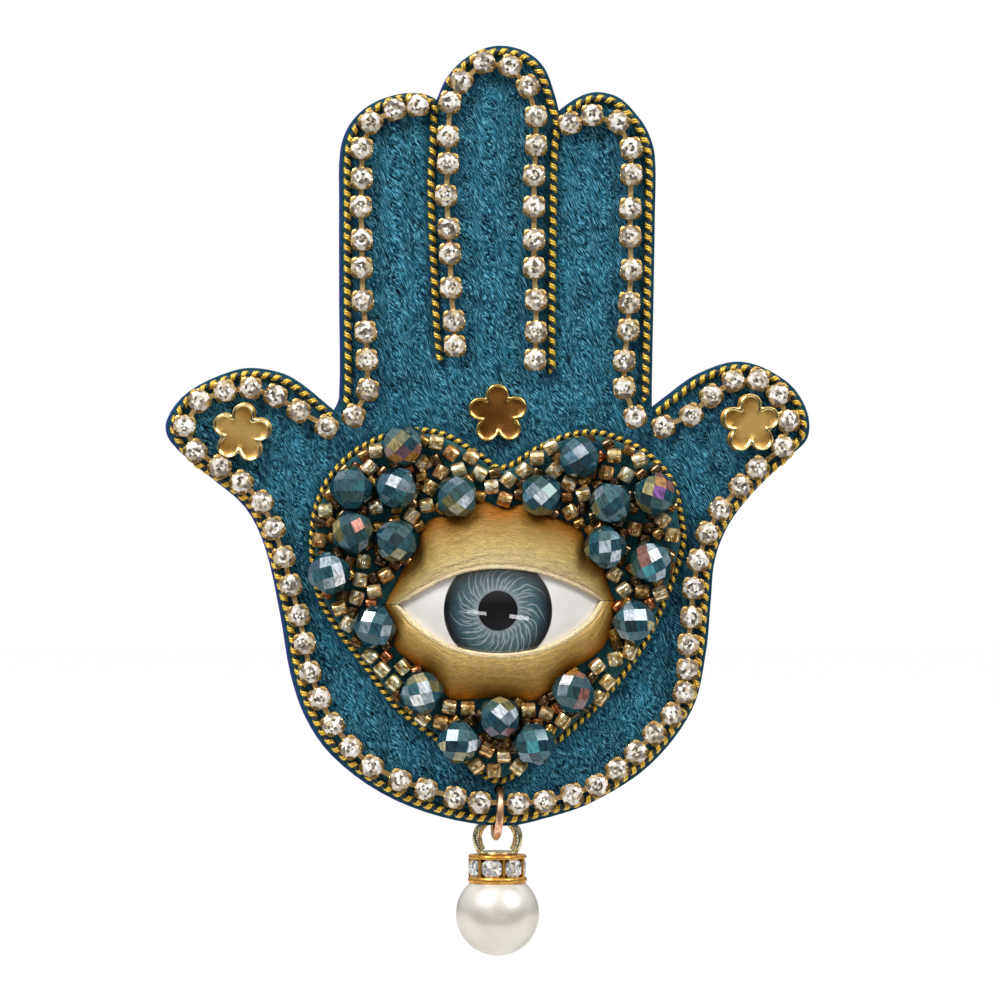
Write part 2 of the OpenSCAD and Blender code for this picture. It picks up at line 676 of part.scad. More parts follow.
module lid(rim, edge, flip) {
    n = lid_sections;
    points = [for (i = [0 : n]) each lid_section(rim, edge, i / n)];
    count = len(lid_section(rim, edge, 0));
    walls = [for (i = [0 : n - 1], k = [0 : count - 1])
        let (a = i * count + k, b = i * count + (k + 1) % count) each [[a, b, b + count], [a, b + count, a + count]]];
    first = [for (k = [count - 1 : -1 : 0]) k];
    last = [for (k = [0 : count - 1]) n * count + k];
    faces = concat(walls, [first], [last]);
    color("peru")
        hang()
            translate([0, 0, z_heart])
                polyhedron(points = points, faces = flip ? [for (f = faces) [for (k = [len(f) - 1 : -1 : 0]) f[k]]]
                    : faces);
}

// Faceted bead: rings of eight corners, turned by half a step from one ring to the next
module crystal_bead(i) {
    r = crystal_d / 2;
    l = crystal_l / 2;
    points = [for (g = crystal_shares, k = [0 : crystal_fold - 1])
        let (a = 360 * (k + g[2]) / crystal_fold) [l * g[0], r * g[1] * cos(a), r * g[1] * sin(a)]];
    place = crystals[i];
    color("darkslategray")
        hang()
            translate([place.x, place.y, z_heart + seat + r])
                rotate(crystal_turn[i])
                    difference() {
                        hull()
                            polyhedron(points = points, faces = [[for (k = [0 : len(points) - 1]) k]]);
                        rotate([0, 90, 0])
                            cylinder(h = crystal_l + 2 * over, d = crystal_bore, center = true, $fn = 24);
                    }
}

// Short tube bead with broken edges, lying on its side
module seed() {
    edge = seed_l * seed_edge_share;
    rotate([0, 90, 0])
        rotate_extrude($fn = 24)
            polygon([[seed_bore / 2, -seed_l / 2], [seed_d / 2 - edge, -seed_l / 2],
                [seed_d / 2, edge - seed_l / 2], [seed_d / 2, seed_l / 2 - edge],
                [seed_d / 2 - edge, seed_l / 2], [seed_bore / 2, seed_l / 2]]);
}

module seed_beads(right) {
    color("gold")
        hang()
            for (i = kept_seeds)
                if ((settled_seeds[i].x > hole_at.x) == right)
                    translate([settled_seeds[i].x, settled_seeds[i].y, z_heart + seat + seed_d / 2])
                        rotate(seed_px[i][2])
                            seed();
}

// Ring of round wire whose axis lies along Z
module wire_ring(d, wire) {
    rotate_extrude($fn = 48)
        translate([d / 2, 0])
            circle(d = wire, $fn = 24);
}

// Jump ring through the hand, with its saw cut at the back
module jump_ring() {
    color("peru")
        hang()
            translate([hole_at.x, ring_y, ring_z])
                rotate([0, 90, 0])
                    difference() {
                        wire_ring(ring_d, ring_wire);
                        rotate(ring_cut_turn)
                            translate([0, -ring_cut / 2, -ring_wire])
                                cube([ring_d, ring_cut, 2 * ring_wire]);
                    }
}

// Loop behind the hand's edge, on a round foot with the wire that holds the beads
module drop_loop() {
    color("khaki")
        hang()
            translate([hole_at.x, 0, loop_z]) {
                difference() {
                    translate([0, loop_y, 0])
                        wire_ring(loop_d, loop_wire);
                    translate([-loop_d, foot_y - foot_t / 2 - 2 * loop_d, -loop_wire])
                        cube([2 * loop_d, 2 * loop_d, 2 * loop_wire]);
                }
                translate([0, foot_y, 0])
                    rotate([90, 0, 0])
                        cylinder(h = foot_t - seat, r = foot_r, $fn = 48);
                translate([0, foot_y, 0])
                    rotate([90, 0, 0])
                        cylinder(h = foot_y - pearl_y, d = shank_d, $fn = 24);
            }
}

// Places a shape drawn round Z, hanging down from the top of the rondelle
module on_shank(y) {
    hang()
        translate([hole_at.x, y, loop_z])
            rotate([-90, 0, 0])
                children();
}

// Two round rims with a wall between every two crystals
module rondelle_frame() {
    half = rim_t / 2;
    color("goldenrod")
        difference() {
            on_shank(rondelle_y - rondelle_h)
                union() {
                    for (z = [0, rondelle_h - rim_t]) {
                        translate([0, 0, z])
                            cylinder(h = rim_t, d = rondelle_d - rim_t, $fn = 64);
                        translate([0, 0, z + half])
                            wire_ring(rondelle_d - rim_t, rim_t);
                    }
                    cylinder(h = rondelle_h, d = waist_d - 2 * run_gap, $fn = 64);
                    for (i = [0 : rondelle_n - 1])
                        rotate((i + 0.5) * 360 / rondelle_n)
                            translate([waist_d / 2 - 2 * run_gap, -bead_wall / 2, half])
                                cube([rondelle_d / 2 - waist_d / 2 - half, bead_wall, rondelle_h - rim_t]);
                }
            on_shank(rondelle_y - rondelle_h)
                cylinder(h = 3 * rondelle_h, d = shank_d + 2 * run_gap, center = true, $fn = 24);
            on_shank(pearl_y)
                sphere(d = pearl_d + 2 * seat, $fn = 96);
        }
}

// Crystals that taper towards the shank, each between two walls
module rondelle_crystals() {
    inner = waist_d / 2;
    outer = (rondelle_d - rim_t) / 2;
    half = 180 / rondelle_n;
    function half_width(r) = r * tan(half) - (bead_wall / 2 + run_gap) / cos(half);
    color("white")
        difference() {
            on_shank(rondelle_y - rondelle_h + rim_t + run_gap)
                for (i = [0 : rondelle_n - 1])
                    rotate(i * 360 / rondelle_n)
                        linear_extrude(rondelle_h - 2 * rim_t - 2 * run_gap)
                            polygon([[inner, -half_width(inner)], [outer, -half_width(outer)],
                                [outer, half_width(outer)], [inner, half_width(inner)]]);
            on_shank(pearl_y)
                sphere(d = pearl_d + 2 * seat, $fn = 96);
        }
}

module pearl() {
    color("ivory")
        on_shank(pearl_y)
            difference() {
                sphere(d = pearl_d, $fn = 96);
                translate([0, 0, -seat])
                    cylinder(h = pearl_d, d = shank_d + 2 * run_gap, $fn = 24);
            }
}

// Draws a shape that is made round Z along the bar, from one place to the right
module along_bar(x) {
    translate([x, 0, 0])
        rotate([0, 90, 0])
            children();
}

// Bar with sewing holes, two hinge ears and the fixed half of the catch
module pin_bar() {
    color("silver")
        hang()
            difference() {
                union() {
                    translate([-bar_l / 2, -bar_w / 2, pin_lift])
                        cube([bar_l, bar_w, bar_t]);
                    for (side = [-1, 1])
                        ear(side);
                    housing();
                }
                for (share = sew_shares, side = [-1, 1])
                    translate([share * bar_l, side * bar_w / 4, pin_lift - over])
                        cylinder(h = bar_t + 2 * over, d = sew_hole, $fn = 24);
                translate([hinge_x, 0, 0])
                    rotate([90, 0, 0])
                        cylinder(h = bar_w, d = rivet_d, center = true, $fn = 24);
                rotor_room();
            }
}

module ear(side) {
    inner = ear_gap / 2;
    translate([hinge_x, side > 0 ? inner + ear_t : -inner, 0])
        rotate([90, 0, 0])
            cylinder(h = ear_t, r = ear_r, $fn = 32);
    translate([hinge_x - ear_r, side > 0 ? inner : -inner - ear_t, 0])
        cube([2 * ear_r, ear_t, pin_lift + bar_t / 2]);
}

module housing() {
    along_bar(catch_x)
        cylinder(h = catch_l, d = catch_d, $fn = 48);
    translate([catch_x, -catch_d / 4, catch_d / 4])
        cube([catch_l, catch_d / 2, pin_lift + bar_t / 2 - catch_d / 4]);
}

module rotor_room() {
    along_bar(catch_x - over)
        cylinder(h = catch_l + 2 * over, d = rotor_d + 2 * run_gap, $fn = 48);
    translate([catch_x - over, -catch_slot / 2, -catch_d])
        cube([catch_l + 2 * over, catch_slot, catch_d]);
}

module hinge_rivet() {
    half = ear_gap / 2 + ear_t;
    color("gray")
        hang()
            translate([hinge_x, 0, 0])
                rotate([90, 0, 0]) {
                    cylinder(h = 2 * half, d = rivet_d, center = true, $fn = 24);
                    for (side = [-1, 1])
                        translate([0, 0, side * (half + rivet_head_t / 2)])
                            cylinder(h = rivet_head_t, d = rivet_d * rivet_head_share, center = true, $fn = 24);
                }
}

// Stem with its eye on the rivet, a collar and a sharp point inside the catch
module pin_stem() {
    straight_end = collar_end + stem_l;
    color("lightsteelblue")
        hang()
            difference() {
                union() {
                    translate([hinge_x, 0, 0])
                        rotate([90, 0, 0])
                            cylinder(h = ear_gap - 2 * run_gap, r = ear_r - run_gap, center = true, $fn = 32);
                    along_bar(hinge_x)
                        cylinder(h = collar_end - hinge_x, d = collar_d, $fn = 32);
                    along_bar(collar_end)
                        cylinder(h = stem_l, d = stem_d, $fn = 32);
                    along_bar(straight_end)
                        cylinder(h = point_l, d1 = stem_d, d2 = stem_d * point_share, $fn = 32);
                }
                translate([hinge_x, 0, 0])
                    rotate([90, 0, 0])
                        cylinder(h = bar_w, d = rivet_d + 2 * run_gap, center = true, $fn = 24);
            }
}

// Turning half of the catch, with a thumb lever beyond the housing
module safety_catch() {
    reach = catch_x + catch_l + run_gap;
    room = reach + lever_t - catch_x + 2 * over;
    color("dimgray")
        hang()
            difference() {
                union() {
                    along_bar(catch_x)
                        cylinder(h = catch_l + run_gap + lever_t, d = rotor_d, $fn = 48);
                    along_bar(reach)
                        cylinder(h = lever_t, d = catch_d, $fn = 48);
                    translate([reach, -lever_t / 2 - catch_d / 4, 0])
                        cube([lever_t, catch_d / 2, catch_d / 2]);
                }
                along_bar(catch_x - over)
                    cylinder(h = room, d = stem_d + 4 * run_gap, $fn = 32);
                translate([catch_x - over, -catch_slot / 2, -catch_d])
                    cube([room, catch_slot, catch_d]);
            }
}

back_cover();
core_pad();
velvet_face();
heart_base();
edge_cord(index_cord_path);  // index_cord
edge_cord(middle_cord_path);  // middle_cord
edge_cord(ring_cord_path);  // ring_cord
edge_cord(palm_cord_path);  // palm_cord
heart_cord();
cup_run(all_at(index_stones_px));  // index_chain
cup_run(all_at(middle_stones_px));  // middle_chain
cup_run(all_at(ring_stones_px));  // ring_chain
cup_run(all_at(palm_stones_px));  // palm_chain
stone_run(all_at(index_stones_px));  // index_stones
stone_run(all_at(middle_stones_px));  // middle_stones
stone_run(all_at(ring_stones_px));  // ring_stones
stone_run(all_at(palm_stones_px));  // palm_stones
for (i = [0 : 2])
    flower_bead(i);
eye_white();
iris_disc();
pupil_disc();
eye_glass();
lid(upper_rim, upper_edge, true);  // upper_eyelid
lid(lower_rim, lower_edge, false);  // lower_eyelid
seed_beads(false);  // left_seed_beads
seed_beads(true);  // right_seed_beads
for (i = [0 : len(CRYSTALS) - 1])
    crystal_bead(i);
jump_ring();
drop_loop();
rondelle_frame();
rondelle_crystals();
pearl();
pin_bar();
hinge_rivet();
pin_stem();
safety_catch();
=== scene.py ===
"""Beaded hamsa brooch: a velvet hand with a heart of crystal beads, a glass eye and a pearl drop.

Pieces are made on a bench, in millimetres: x to the right, y up, z towards the viewer.
Hanging a piece turns the bench upright and puts it in the row frame, in metres.
"""

import json
import logging
import math
from dataclasses import dataclass
from enum import Enum
from typing import Any, Iterable, Sequence

import bmesh
import bpy
import numpy as np
from bmesh.types import BMesh, BMFace, BMVert
from bpy.types import Material, Node, Object
from mathutils import Matrix, Vector

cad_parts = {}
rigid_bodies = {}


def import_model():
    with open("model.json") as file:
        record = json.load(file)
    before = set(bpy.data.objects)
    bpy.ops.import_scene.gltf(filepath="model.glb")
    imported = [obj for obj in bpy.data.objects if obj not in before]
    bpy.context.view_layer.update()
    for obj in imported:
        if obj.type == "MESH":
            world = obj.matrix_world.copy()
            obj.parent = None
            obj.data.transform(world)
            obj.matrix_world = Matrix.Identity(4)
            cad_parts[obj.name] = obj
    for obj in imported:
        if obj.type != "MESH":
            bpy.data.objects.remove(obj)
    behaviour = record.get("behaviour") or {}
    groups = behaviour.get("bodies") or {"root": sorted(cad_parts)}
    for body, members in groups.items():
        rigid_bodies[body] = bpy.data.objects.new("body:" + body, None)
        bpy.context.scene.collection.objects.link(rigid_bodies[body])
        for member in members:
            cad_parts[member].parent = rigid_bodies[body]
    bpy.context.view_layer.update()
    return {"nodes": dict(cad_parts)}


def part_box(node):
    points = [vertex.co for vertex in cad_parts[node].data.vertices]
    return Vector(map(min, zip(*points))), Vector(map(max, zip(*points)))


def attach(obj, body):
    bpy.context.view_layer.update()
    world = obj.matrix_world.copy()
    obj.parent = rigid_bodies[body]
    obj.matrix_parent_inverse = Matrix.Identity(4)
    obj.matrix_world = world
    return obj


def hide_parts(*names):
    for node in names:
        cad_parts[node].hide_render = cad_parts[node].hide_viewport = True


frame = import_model()
LOG = logging.getLogger("hamsa")

# Places are in pixels of the front view; the hand is 641.5 of them wide.
MM_PX = 60.1 / 641.5
ORIGIN_PX = (495.0, 440.0)
MM = 0.001
BENCH_TO_ROW = Matrix(((MM, 0, 0, 0), (0, 0, -MM, 0), (0, MM, 0, 0), (0, 0, 0, 1)))

INDEX_EDGE_PX = [(335, 411), (341, 396), (341, 300), (341, 200), (342, 150), (351, 124), (371, 104),
                 (401, 93.5), (425, 94), (438, 100)]
MIDDLE_EDGE_PX = [(438, 100), (449, 76), (470, 55), (497, 45.5), (525, 51), (544, 67), (555, 95), (559, 111)]
RING_EDGE_PX = [(559, 111), (572, 101), (585, 94), (601, 92), (620, 98), (636, 113.5), (648, 131.5), (655, 156),
                (655, 215), (653.5, 307), (652, 385), (652, 408)]
PALM_EDGE_PX = [(652, 408), (666, 397), (700, 373), (741, 361.5), (785, 380), (806, 408), (808, 437),
                (789, 457), (751, 495), (728, 526), (715, 560), (711, 600), (706, 653), (692, 710), (650, 765),
                (593, 802), (547, 818), (505, 826), (443, 817), (383, 793), (333, 755), (307, 717), (292, 673),
                (282, 615), (267, 548), (247, 507), (210, 475), (172, 441), (168, 420), (190, 391), (235, 370),
                (263, 368.7), (293, 378), (335, 411)]
EDGES_PX = (INDEX_EDGE_PX, MIDDLE_EDGE_PX, RING_EDGE_PX, PALM_EDGE_PX)
LEFT_PART_PX = [(434, 104), (433, 145), (431, 180), (432, 226), (434, 270), (437, 330), (440, 360)]
RIGHT_PART_PX = [(557, 124), (554, 160), (553, 220), (552, 307), (552, 372)]
HEART_PX = [(501, 468), (535, 450), (560, 438), (590, 432), (615, 437), (645, 452), (671, 480),
            (681, 516), (683, 545), (664, 602), (642, 647), (604, 698), (561, 738), (528, 763), (499, 781),
            (468, 762), (435, 737), (397, 707), (365, 665), (335, 625), (318, 592), (312, 545), (317, 505),
            (334, 472), (362, 447), (400, 432), (440, 433), (480, 455)]
INDEX_STONES_PX = [(418, 106), (395, 110), (371, 123), (362, 149), (362, 179), (361, 207), (362, 240),
                   (362, 268), (363, 301), (366, 332), (367, 360), (368, 390), (354, 416)]
MIDDLE_STONES_PX = [(455, 346), (454, 321), (451, 288), (450, 254), (449, 229), (446, 196), (448, 164),
                    (448, 137), (450, 103), (461, 82), (484, 63), (510, 67), (528, 87), (536, 117), (536, 146),
                    (534, 176), (534, 207), (534, 240), (534, 268), (536, 300), (536, 332), (535, 360)]
RING_STONES_PX = [(570, 124), (592, 116), (618, 123), (631, 149), (631, 175), (630, 209), (630, 237),
                  (631, 270), (629, 303), (628, 330), (624, 361), (624, 388), (635, 417)]
PALM_STONES_PX = [(663, 427), (691, 415), (711, 396), (733, 381), (758, 380), (778, 395), (788, 421),
                  (783, 447), (757, 468), (740, 486), (720, 509), (707, 533), (698, 560), (693, 588), (691, 617),
                  (688, 644), (687, 669), (684, 692), (672, 714), (654, 733), (636, 752), (617, 769), (597, 785),
                  (572, 794), (545, 801), (518.4, 803), (479.8, 802), (455, 797), (426, 789), (400, 780), (372, 766),
                  (351, 747), (333, 724), (320, 698), (310, 672), (305, 643), (299, 615), (291, 585), (284, 557),
                  (274, 528), (262, 502), (242, 482), (220, 467), (196, 451), (185, 426), (200, 401), (225, 391),
                  (251, 388), (276, 396), (299, 411), (327, 427)]
CHAINS_PX = {"index": INDEX_STONES_PX, "middle": MIDDLE_STONES_PX, "ring": RING_STONES_PX, "palm": PALM_STONES_PX}
UPPER_RIM_PX = [(398, 604), (410, 597), (425, 588), (445, 578), (470, 570), (496, 567), (525, 569),
                (550, 575), (575, 585), (590, 593), (601, 600)]
LOWER_RIM_PX = [(398, 604), (410, 617), (425, 630), (445, 642), (470, 650), (499, 653), (530, 650),
                (555, 642), (577, 629), (592, 615), (601, 600)]
UPPER_EDGE_PX = [(385, 604), (393, 589), (404, 568), (417, 550), (422, 530), (434, 517), (457, 515),
                 (480, 501), (503, 508), (522, 504), (541, 514), (562, 520), (582, 531), (587, 552), (603, 568),
                 (609, 588), (614, 600)]
LOWER_EDGE_PX = [(385, 604), (396, 626), (394, 645), (412, 662), (436, 677), (448, 697), (470, 699),
                 (490, 697), (512, 698), (535, 700), (551, 689), (566, 670), (586, 661), (604, 645), (613, 620),
                 (614, 600)]

Points = np.ndarray
Rng = np.random.Generator

# Settings of a Mix node for colours, and for a colour times another
COLOURS = {"data_type": "RGBA"}
TIMES = {"data_type": "RGBA", "blend_type": "MULTIPLY"}


class Body(Enum):
    """Bodies of the part that pieces ride on."""

    HAND = "hand"
    RING = "ring"
    DROP = "drop"


class Cut(Enum):
    """What a closed shape does to a piece."""

    AWAY = "DIFFERENCE"
    KEEP = "INTERSECT"


class Ends(Enum):
    """Whether a run of points is joined to its start."""

    OPEN = "open"
    CLOSED = "closed"


def at(points: Sequence[tuple[float, float]]) -> Points:
    """Bench places, in mm, of pixels of the front view."""
    px = np.asarray(points, float)
    return np.column_stack([px[:, 0] - ORIGIN_PX[0], ORIGIN_PX[1] - px[:, 1]]) * MM_PX


def unit(v: Points) -> Points:
    """Vectors at length one; a vector without length stays."""
    size = np.linalg.norm(v, axis=-1, keepdims=True)
    return v / np.where(size > 0, size, 1)


def smooth_run(p: Points, steps: int, ends: Ends = Ends.OPEN) -> Points:
    """Smooth curve through places, which leaves each along the line between its neighbours.

    Args:
        p: The places it goes through.
        steps: Points from each place to the next.
        ends: Whether it comes back to its start.

    Returns:
        The points along the curve.
    """
    n = len(p)
    out: list[Points] = []
    spans = n if ends is Ends.CLOSED else n - 1
    for i in range(spans):
        pick = (lambda k: p[k % n]) if ends is Ends.CLOSED else (lambda k: p[min(max(k, 0), n - 1)])
        a, b, c, d = pick(i - 1), pick(i), pick(i + 1), pick(i + 2)
        size = np.linalg.norm(c - b)
        go, come = unit(c - a) * size, unit(d - b) * size
        for s in range(steps):
            t = s / steps
            out.append(b + go * t + (3 * (c - b) - 2 * go - come) * t**2 + (2 * (b - c) + go + come) * t**3)
    if ends is Ends.OPEN:
        out.append(p[-1])
    return np.array(out)


def side_of(p: Points, ends: Ends = Ends.OPEN) -> Points:
    """Unit vectors to the right of the way that a run of points goes."""
    if ends is Ends.CLOSED:
        way = np.roll(p, -1, 0) - np.roll(p, 1, 0)
    else:
        way = np.vstack([p[1:2] - p[:1], p[2:] - p[:-2], p[-1:] - p[-2:-1]])
    way = unit(way)
    return np.column_stack([way[:, 1], -way[:, 0]])


def spaced(p: Points, step: float, ends: Ends = Ends.OPEN) -> Points:
    """The same run of points, set a fixed step apart."""
    line = np.vstack([p, p[:1]]) if ends is Ends.CLOSED else p
    length = np.r_[0, np.cumsum(np.linalg.norm(np.diff(line, axis=0), axis=1))]
    count = max(3, int(round(length[-1] / step)))
    marks = np.linspace(0, length[-1], count + 1)
    if ends is Ends.CLOSED:
        marks = marks[:-1]
    return np.column_stack([np.interp(marks, length, line[:, k]) for k in range(line.shape[1])])


def distance_to(p: Points, line: Points) -> Points:
    """Distance from each place to the nearest point of a finely spaced line."""
    best = np.full(len(p), np.inf)
    for start in range(0, len(line), 200):
        chunk = line[start:start + 200]
        gap = np.linalg.norm(p[:, None, :] - chunk[None, :, :], axis=2).min(axis=1)
        best = np.minimum(best, gap)
    return best


def ease(x: Points | float, low: float, high: float) -> Points:
    """Smooth step from 0 at low to 1 at high."""
    t = np.clip((np.asarray(x, float) - low) / (high - low), 0, 1)
    return t * t * (3 - 2 * t)


def give_way(path: Points, stones: Points, clear: float) -> Points:
    """Pushes the points of a path that come too near a chain out to a clear distance from it."""
    line = spaced(stones, 0.05)
    out = path.copy()
    for i, p in enumerate(path):
        gap = line - p
        k = int(np.argmin((gap**2).sum(axis=1)))
        d = np.linalg.norm(gap[k])
        if d < clear:
            out[i] = line[k] + unit(p - line[k]) * clear
    return out


def inside(places: Points, loop: Points) -> Points:
    """Which places are inside a closed line."""
    x, y = places[:, 0], places[:, 1]
    hit = np.zeros(len(places), bool)
    for a, b in zip(loop, np.roll(loop, -1, 0)):
        crosses = (a[1] > y) != (b[1] > y)
        cut = (b[0] - a[0]) * (y - a[1]) / np.where(b[1] == a[1], 1, b[1] - a[1]) + a[0]
        hit ^= crosses & (x < cut)
    return hit


def linear(code: str) -> tuple[float, float, float, float]:
    """Linear colour of an sRGB hex code."""
    parts = [int(code[i:i + 2], 16) / 255 for i in (1, 3, 5)]
    r, g, b = (c / 12.92 if c <= 0.04045 else ((c + 0.055) / 1.055) ** 2.4 for c in parts)
    return (r, g, b, 1.0)


class Nodes:
    """Node tree that is filled node by node.

    A Mix node takes its share at 0, numbers at 2 and 3, and colours at 6 and 7.
    """

    def __init__(self, tree: bpy.types.NodeTree) -> None:
        """Takes the tree of a material or a world."""
        self.tree = tree

    def put(self, node: Node, socket: str | int, value: Any) -> None:
        """Sets or links one input of a node; a node gives its first live output, and a hex code is a colour."""
        target = node.inputs[socket]
        if isinstance(value, Node):
            value = next(out for out in value.outputs if out.enabled)
        if isinstance(value, bpy.types.NodeSocket):
            self.tree.links.new(value, target)
        else:
            target.default_value = linear(value) if isinstance(value, str) else value

    def add(self, kind: str, inputs: dict[str | int, Any] | None = None, **settings: Any) -> Node:
        """Adds a node with its settings and links.

        Args:
            kind: The node's type after ShaderNode.
            inputs: What each input is set to or linked with.
            settings: The node's own settings; stops are the places and colours of a ramp.

        Returns:
            The node.
        """
        node = self.tree.nodes.new("ShaderNode" + kind)
        stops = settings.pop("stops", None)
        for key, value in settings.items():
            setattr(node, key, value)
        if stops:
            ramp = node.color_ramp
            ramp.elements.remove(ramp.elements[-1])
            ramp.elements[0].position, ramp.elements[0].color = stops[0][0], linear(stops[0][1])
            for place, code in stops[1:]:
                ramp.elements.new(place).color = linear(code)
        for socket, value in (inputs or {}).items():
            self.put(node, socket, value)
        return node


class Shade(Nodes):
    """Nodes of one material round its Principled shader."""

    def __init__(self, name: str, **constants: Any) -> None:
        """Starts a material.

        Args:
            name: Name of the finish.
            constants: Values for the shader's own sockets, with _ for a space.
        """
        self.material = bpy.data.materials.new(name)
        self.material.use_nodes = True
        super().__init__(self.material.node_tree)
        self.shader = next(n for n in self.tree.nodes if n.type == "BSDF_PRINCIPLED")
        self.coat(**constants)

    def coat(self, **inputs: Any) -> Material:
        """Sets or links the shader's own sockets, with _ for a space, and returns the material."""
        for key, value in inputs.items():
            self.put(self.shader, key.replace("_", " "), value)
        return self.material

    def grain(self, across: float, along: float, turn: float = 0.0, detail: float = 3.0, twist: float = 0.0,
              place: Any = None) -> Node:
        """Noise whose grains have a real size.

        Args:
            across: Width of a grain, in mm.
            along: Height of a grain, in mm.
            turn: How far the grains lean in the plane of the hand, in degrees.
            detail: Octaves of finer grain.
            twist: Distortion of the grains.
            place: Where the places come from, if not straight from the object.

        Returns:
            The noise node.
        """
        place = place or self.add("TexCoord").outputs["Object"]
        lean = self.add("Mapping", {"Vector": place, "Rotation": (0, math.radians(turn), 0)})
        fit = self.add("Mapping", {"Vector": lean, "Scale": (1 / across / MM, 1 / across / MM, 1 / along / MM)})
        return self.add("TexNoise", {"Vector": fit, "Scale": 1.0, "Detail": detail, "Distortion": twist})

    def rough(self, height: Any, mm: float) -> None:
        """Gives the shader a bump of a real height, in mm."""
        self.coat(Normal=self.add("Bump", {"Height": height, "Distance": mm * MM, "Strength": 1.0}))


@dataclass(frozen=True)
class Velvet:
    """Silk velvet, woven with a cut pile and crushed by hand: matt, with short bright streaks of painted sheen and dark
    streaks of painted shade.
    """

    shade_low: str = "#0f4258"
    shade_high: str = "#256b86"
    # The glint tone is painted sheen on the tufts; the gap tone is painted shade between them
    glint: str = "#6ab4d0"
    gap: str = "#011622"
    # Painted shade near cords and beads, partly real flattened pile, and along the rolled edge
    pressed_and_shaded: str = "#0f3a4c"

    def dress(self) -> Material:
        """The velvet, darker by an attribute where the pile is held down by a cord or bead, partly real and partly
        painted shade there, and along its rolled edge, which is painted shade.
        """
        shade = Shade("crushed_silk_velvet", Roughness=0.9, Sheen_Weight=0.06, Sheen_Roughness=0.4,
                      Sheen_Tint="#6fb0c6", Specular_IOR_Level=0.1)
        # The pile lies in soft waves 3 mm wide, and in rows 1.1 mm wide that lean left and right by turns.
        object_place = shade.add("TexCoord").outputs["Object"]
        wave = shade.grain(3.4, 3.4, detail=1)
        centred = shade.add("VectorMath", {0: wave.outputs["Color"], 1: (0.5, 0.5, 0.5)}, operation="SUBTRACT")
        drift = shade.add("VectorMath", {0: centred, "Scale": 0.0007}, operation="SCALE")
        bent = shade.add("VectorMath", {0: object_place, 1: drift}, operation="ADD")
        split = shade.add("SeparateXYZ", {0: bent})
        row = shade.add("Math", {0: split.outputs["X"], 1: 0.0011}, operation="PINGPONG")
        rise = shade.add("Math", {0: row, 1: 0.55, 2: split.outputs["Z"]}, operation="MULTIPLY_ADD")
        pile = shade.add("CombineXYZ", {0: split.outputs["X"], 1: split.outputs["Y"], 2: rise})
        # Tufts are about 0.12 mm wide and lie over in runs of 0.8 mm.
        light = shade.grain(0.075, 0.75, 30, detail=1.5, place=pile)
        dark = shade.grain(0.09, 0.7, 38, detail=1.5, place=pile)
        fine = shade.grain(0.09, 0.3, 20, detail=1, place=pile)
        patch = shade.grain(1.6, 3.0, 15, detail=4)
        ground = shade.add("ValToRGB", {"Fac": patch}, stops=((0.36, self.shade_low), (0.64, self.shade_high)))
        # Bright streaks are painted sheen on the tufts, and dark ones painted shade between them
        bright = shade.add("MapRange", {"Value": light, "From Min": 0.5, "From Max": 0.63, "To Max": 0.95})
        deep = shade.add("MapRange", {"Value": dark, "From Min": 0.5, "From Max": 0.36, "To Max": 1.0})
        lit = shade.add("Mix", {0: bright, 6: ground, 7: self.glint}, **COLOURS)
        shaded = shade.add("Mix", {0: deep, 6: lit, 7: self.gap}, **COLOURS)
        grit = shade.add("MapRange", {"Value": fine, "From Min": 0.3, "From Max": 0.7, "To Min": 0.55, "To Max": 1.35})
        gritty = shade.add("Mix", {0: 1.0, 6: shaded, 7: grit}, **TIMES)
        # Darker where the pile is held down and along the rolled edge: partly real, partly painted shade
        held = shade.add("Attribute", attribute_name="pressed_and_shaded").outputs["Fac"]
        shade.rough(shade.add("Math", {0: light, 1: dark}, operation="ADD"), 0.1)
        return shade.coat(Base_Color=shade.add("Mix", {0: held, 6: gritty, 7: self.pressed_and_shaded}, **COLOURS))


@dataclass(frozen=True)
class Felt:
    """Pressed wool felt, cut with shears: matt and slightly hairy."""

    name: str
    dark: str
    light: str

    def dress(self) -> Material:
        """The felt."""
        shade = Shade(self.name, Roughness=0.95, Sheen_Weight=0.2, Sheen_Roughness=0.5, Specular_IOR_Level=0.1)
        # Fibres of the felt tangle at about 0.2 mm.
        hair = shade.grain(0.2, 0.2, detail=4, twist=1.5)
        shade.rough(hair, 0.08)
        ramp = shade.add("ValToRGB", {"Fac": hair}, stops=((0.38, self.dark), (0.62, self.light)))
        return shade.coat(Base_Color=ramp)


@dataclass(frozen=True)
class Metal:
    """Plated or drawn metal, polished or worn."""

    name: str
    base: str
    deep: str
    gloss: float = 0.22
    grain_mm: float = 0.35
    dent_mm: float = 0.01

    def dress(self) -> Material:
        """The metal, a little deeper and rougher in patches."""
        shade = Shade(self.name, Metallic=1.0)
        wear = shade.grain(self.grain_mm, self.grain_mm)
        ramp = shade.add("ValToRGB", {"Fac": wear}, stops=((0.35, self.deep), (0.6, self.base)))
        dull = shade.add("MapRange", {"Value": wear, "From Min": 0.3, "From Max": 0.7,
                                      "To Min": self.gloss * 1.35, "To Max": self.gloss * 0.75})
        shade.rough(wear, self.dent_mm)
        return shade.coat(Base_Color=ramp, Roughness=dull)


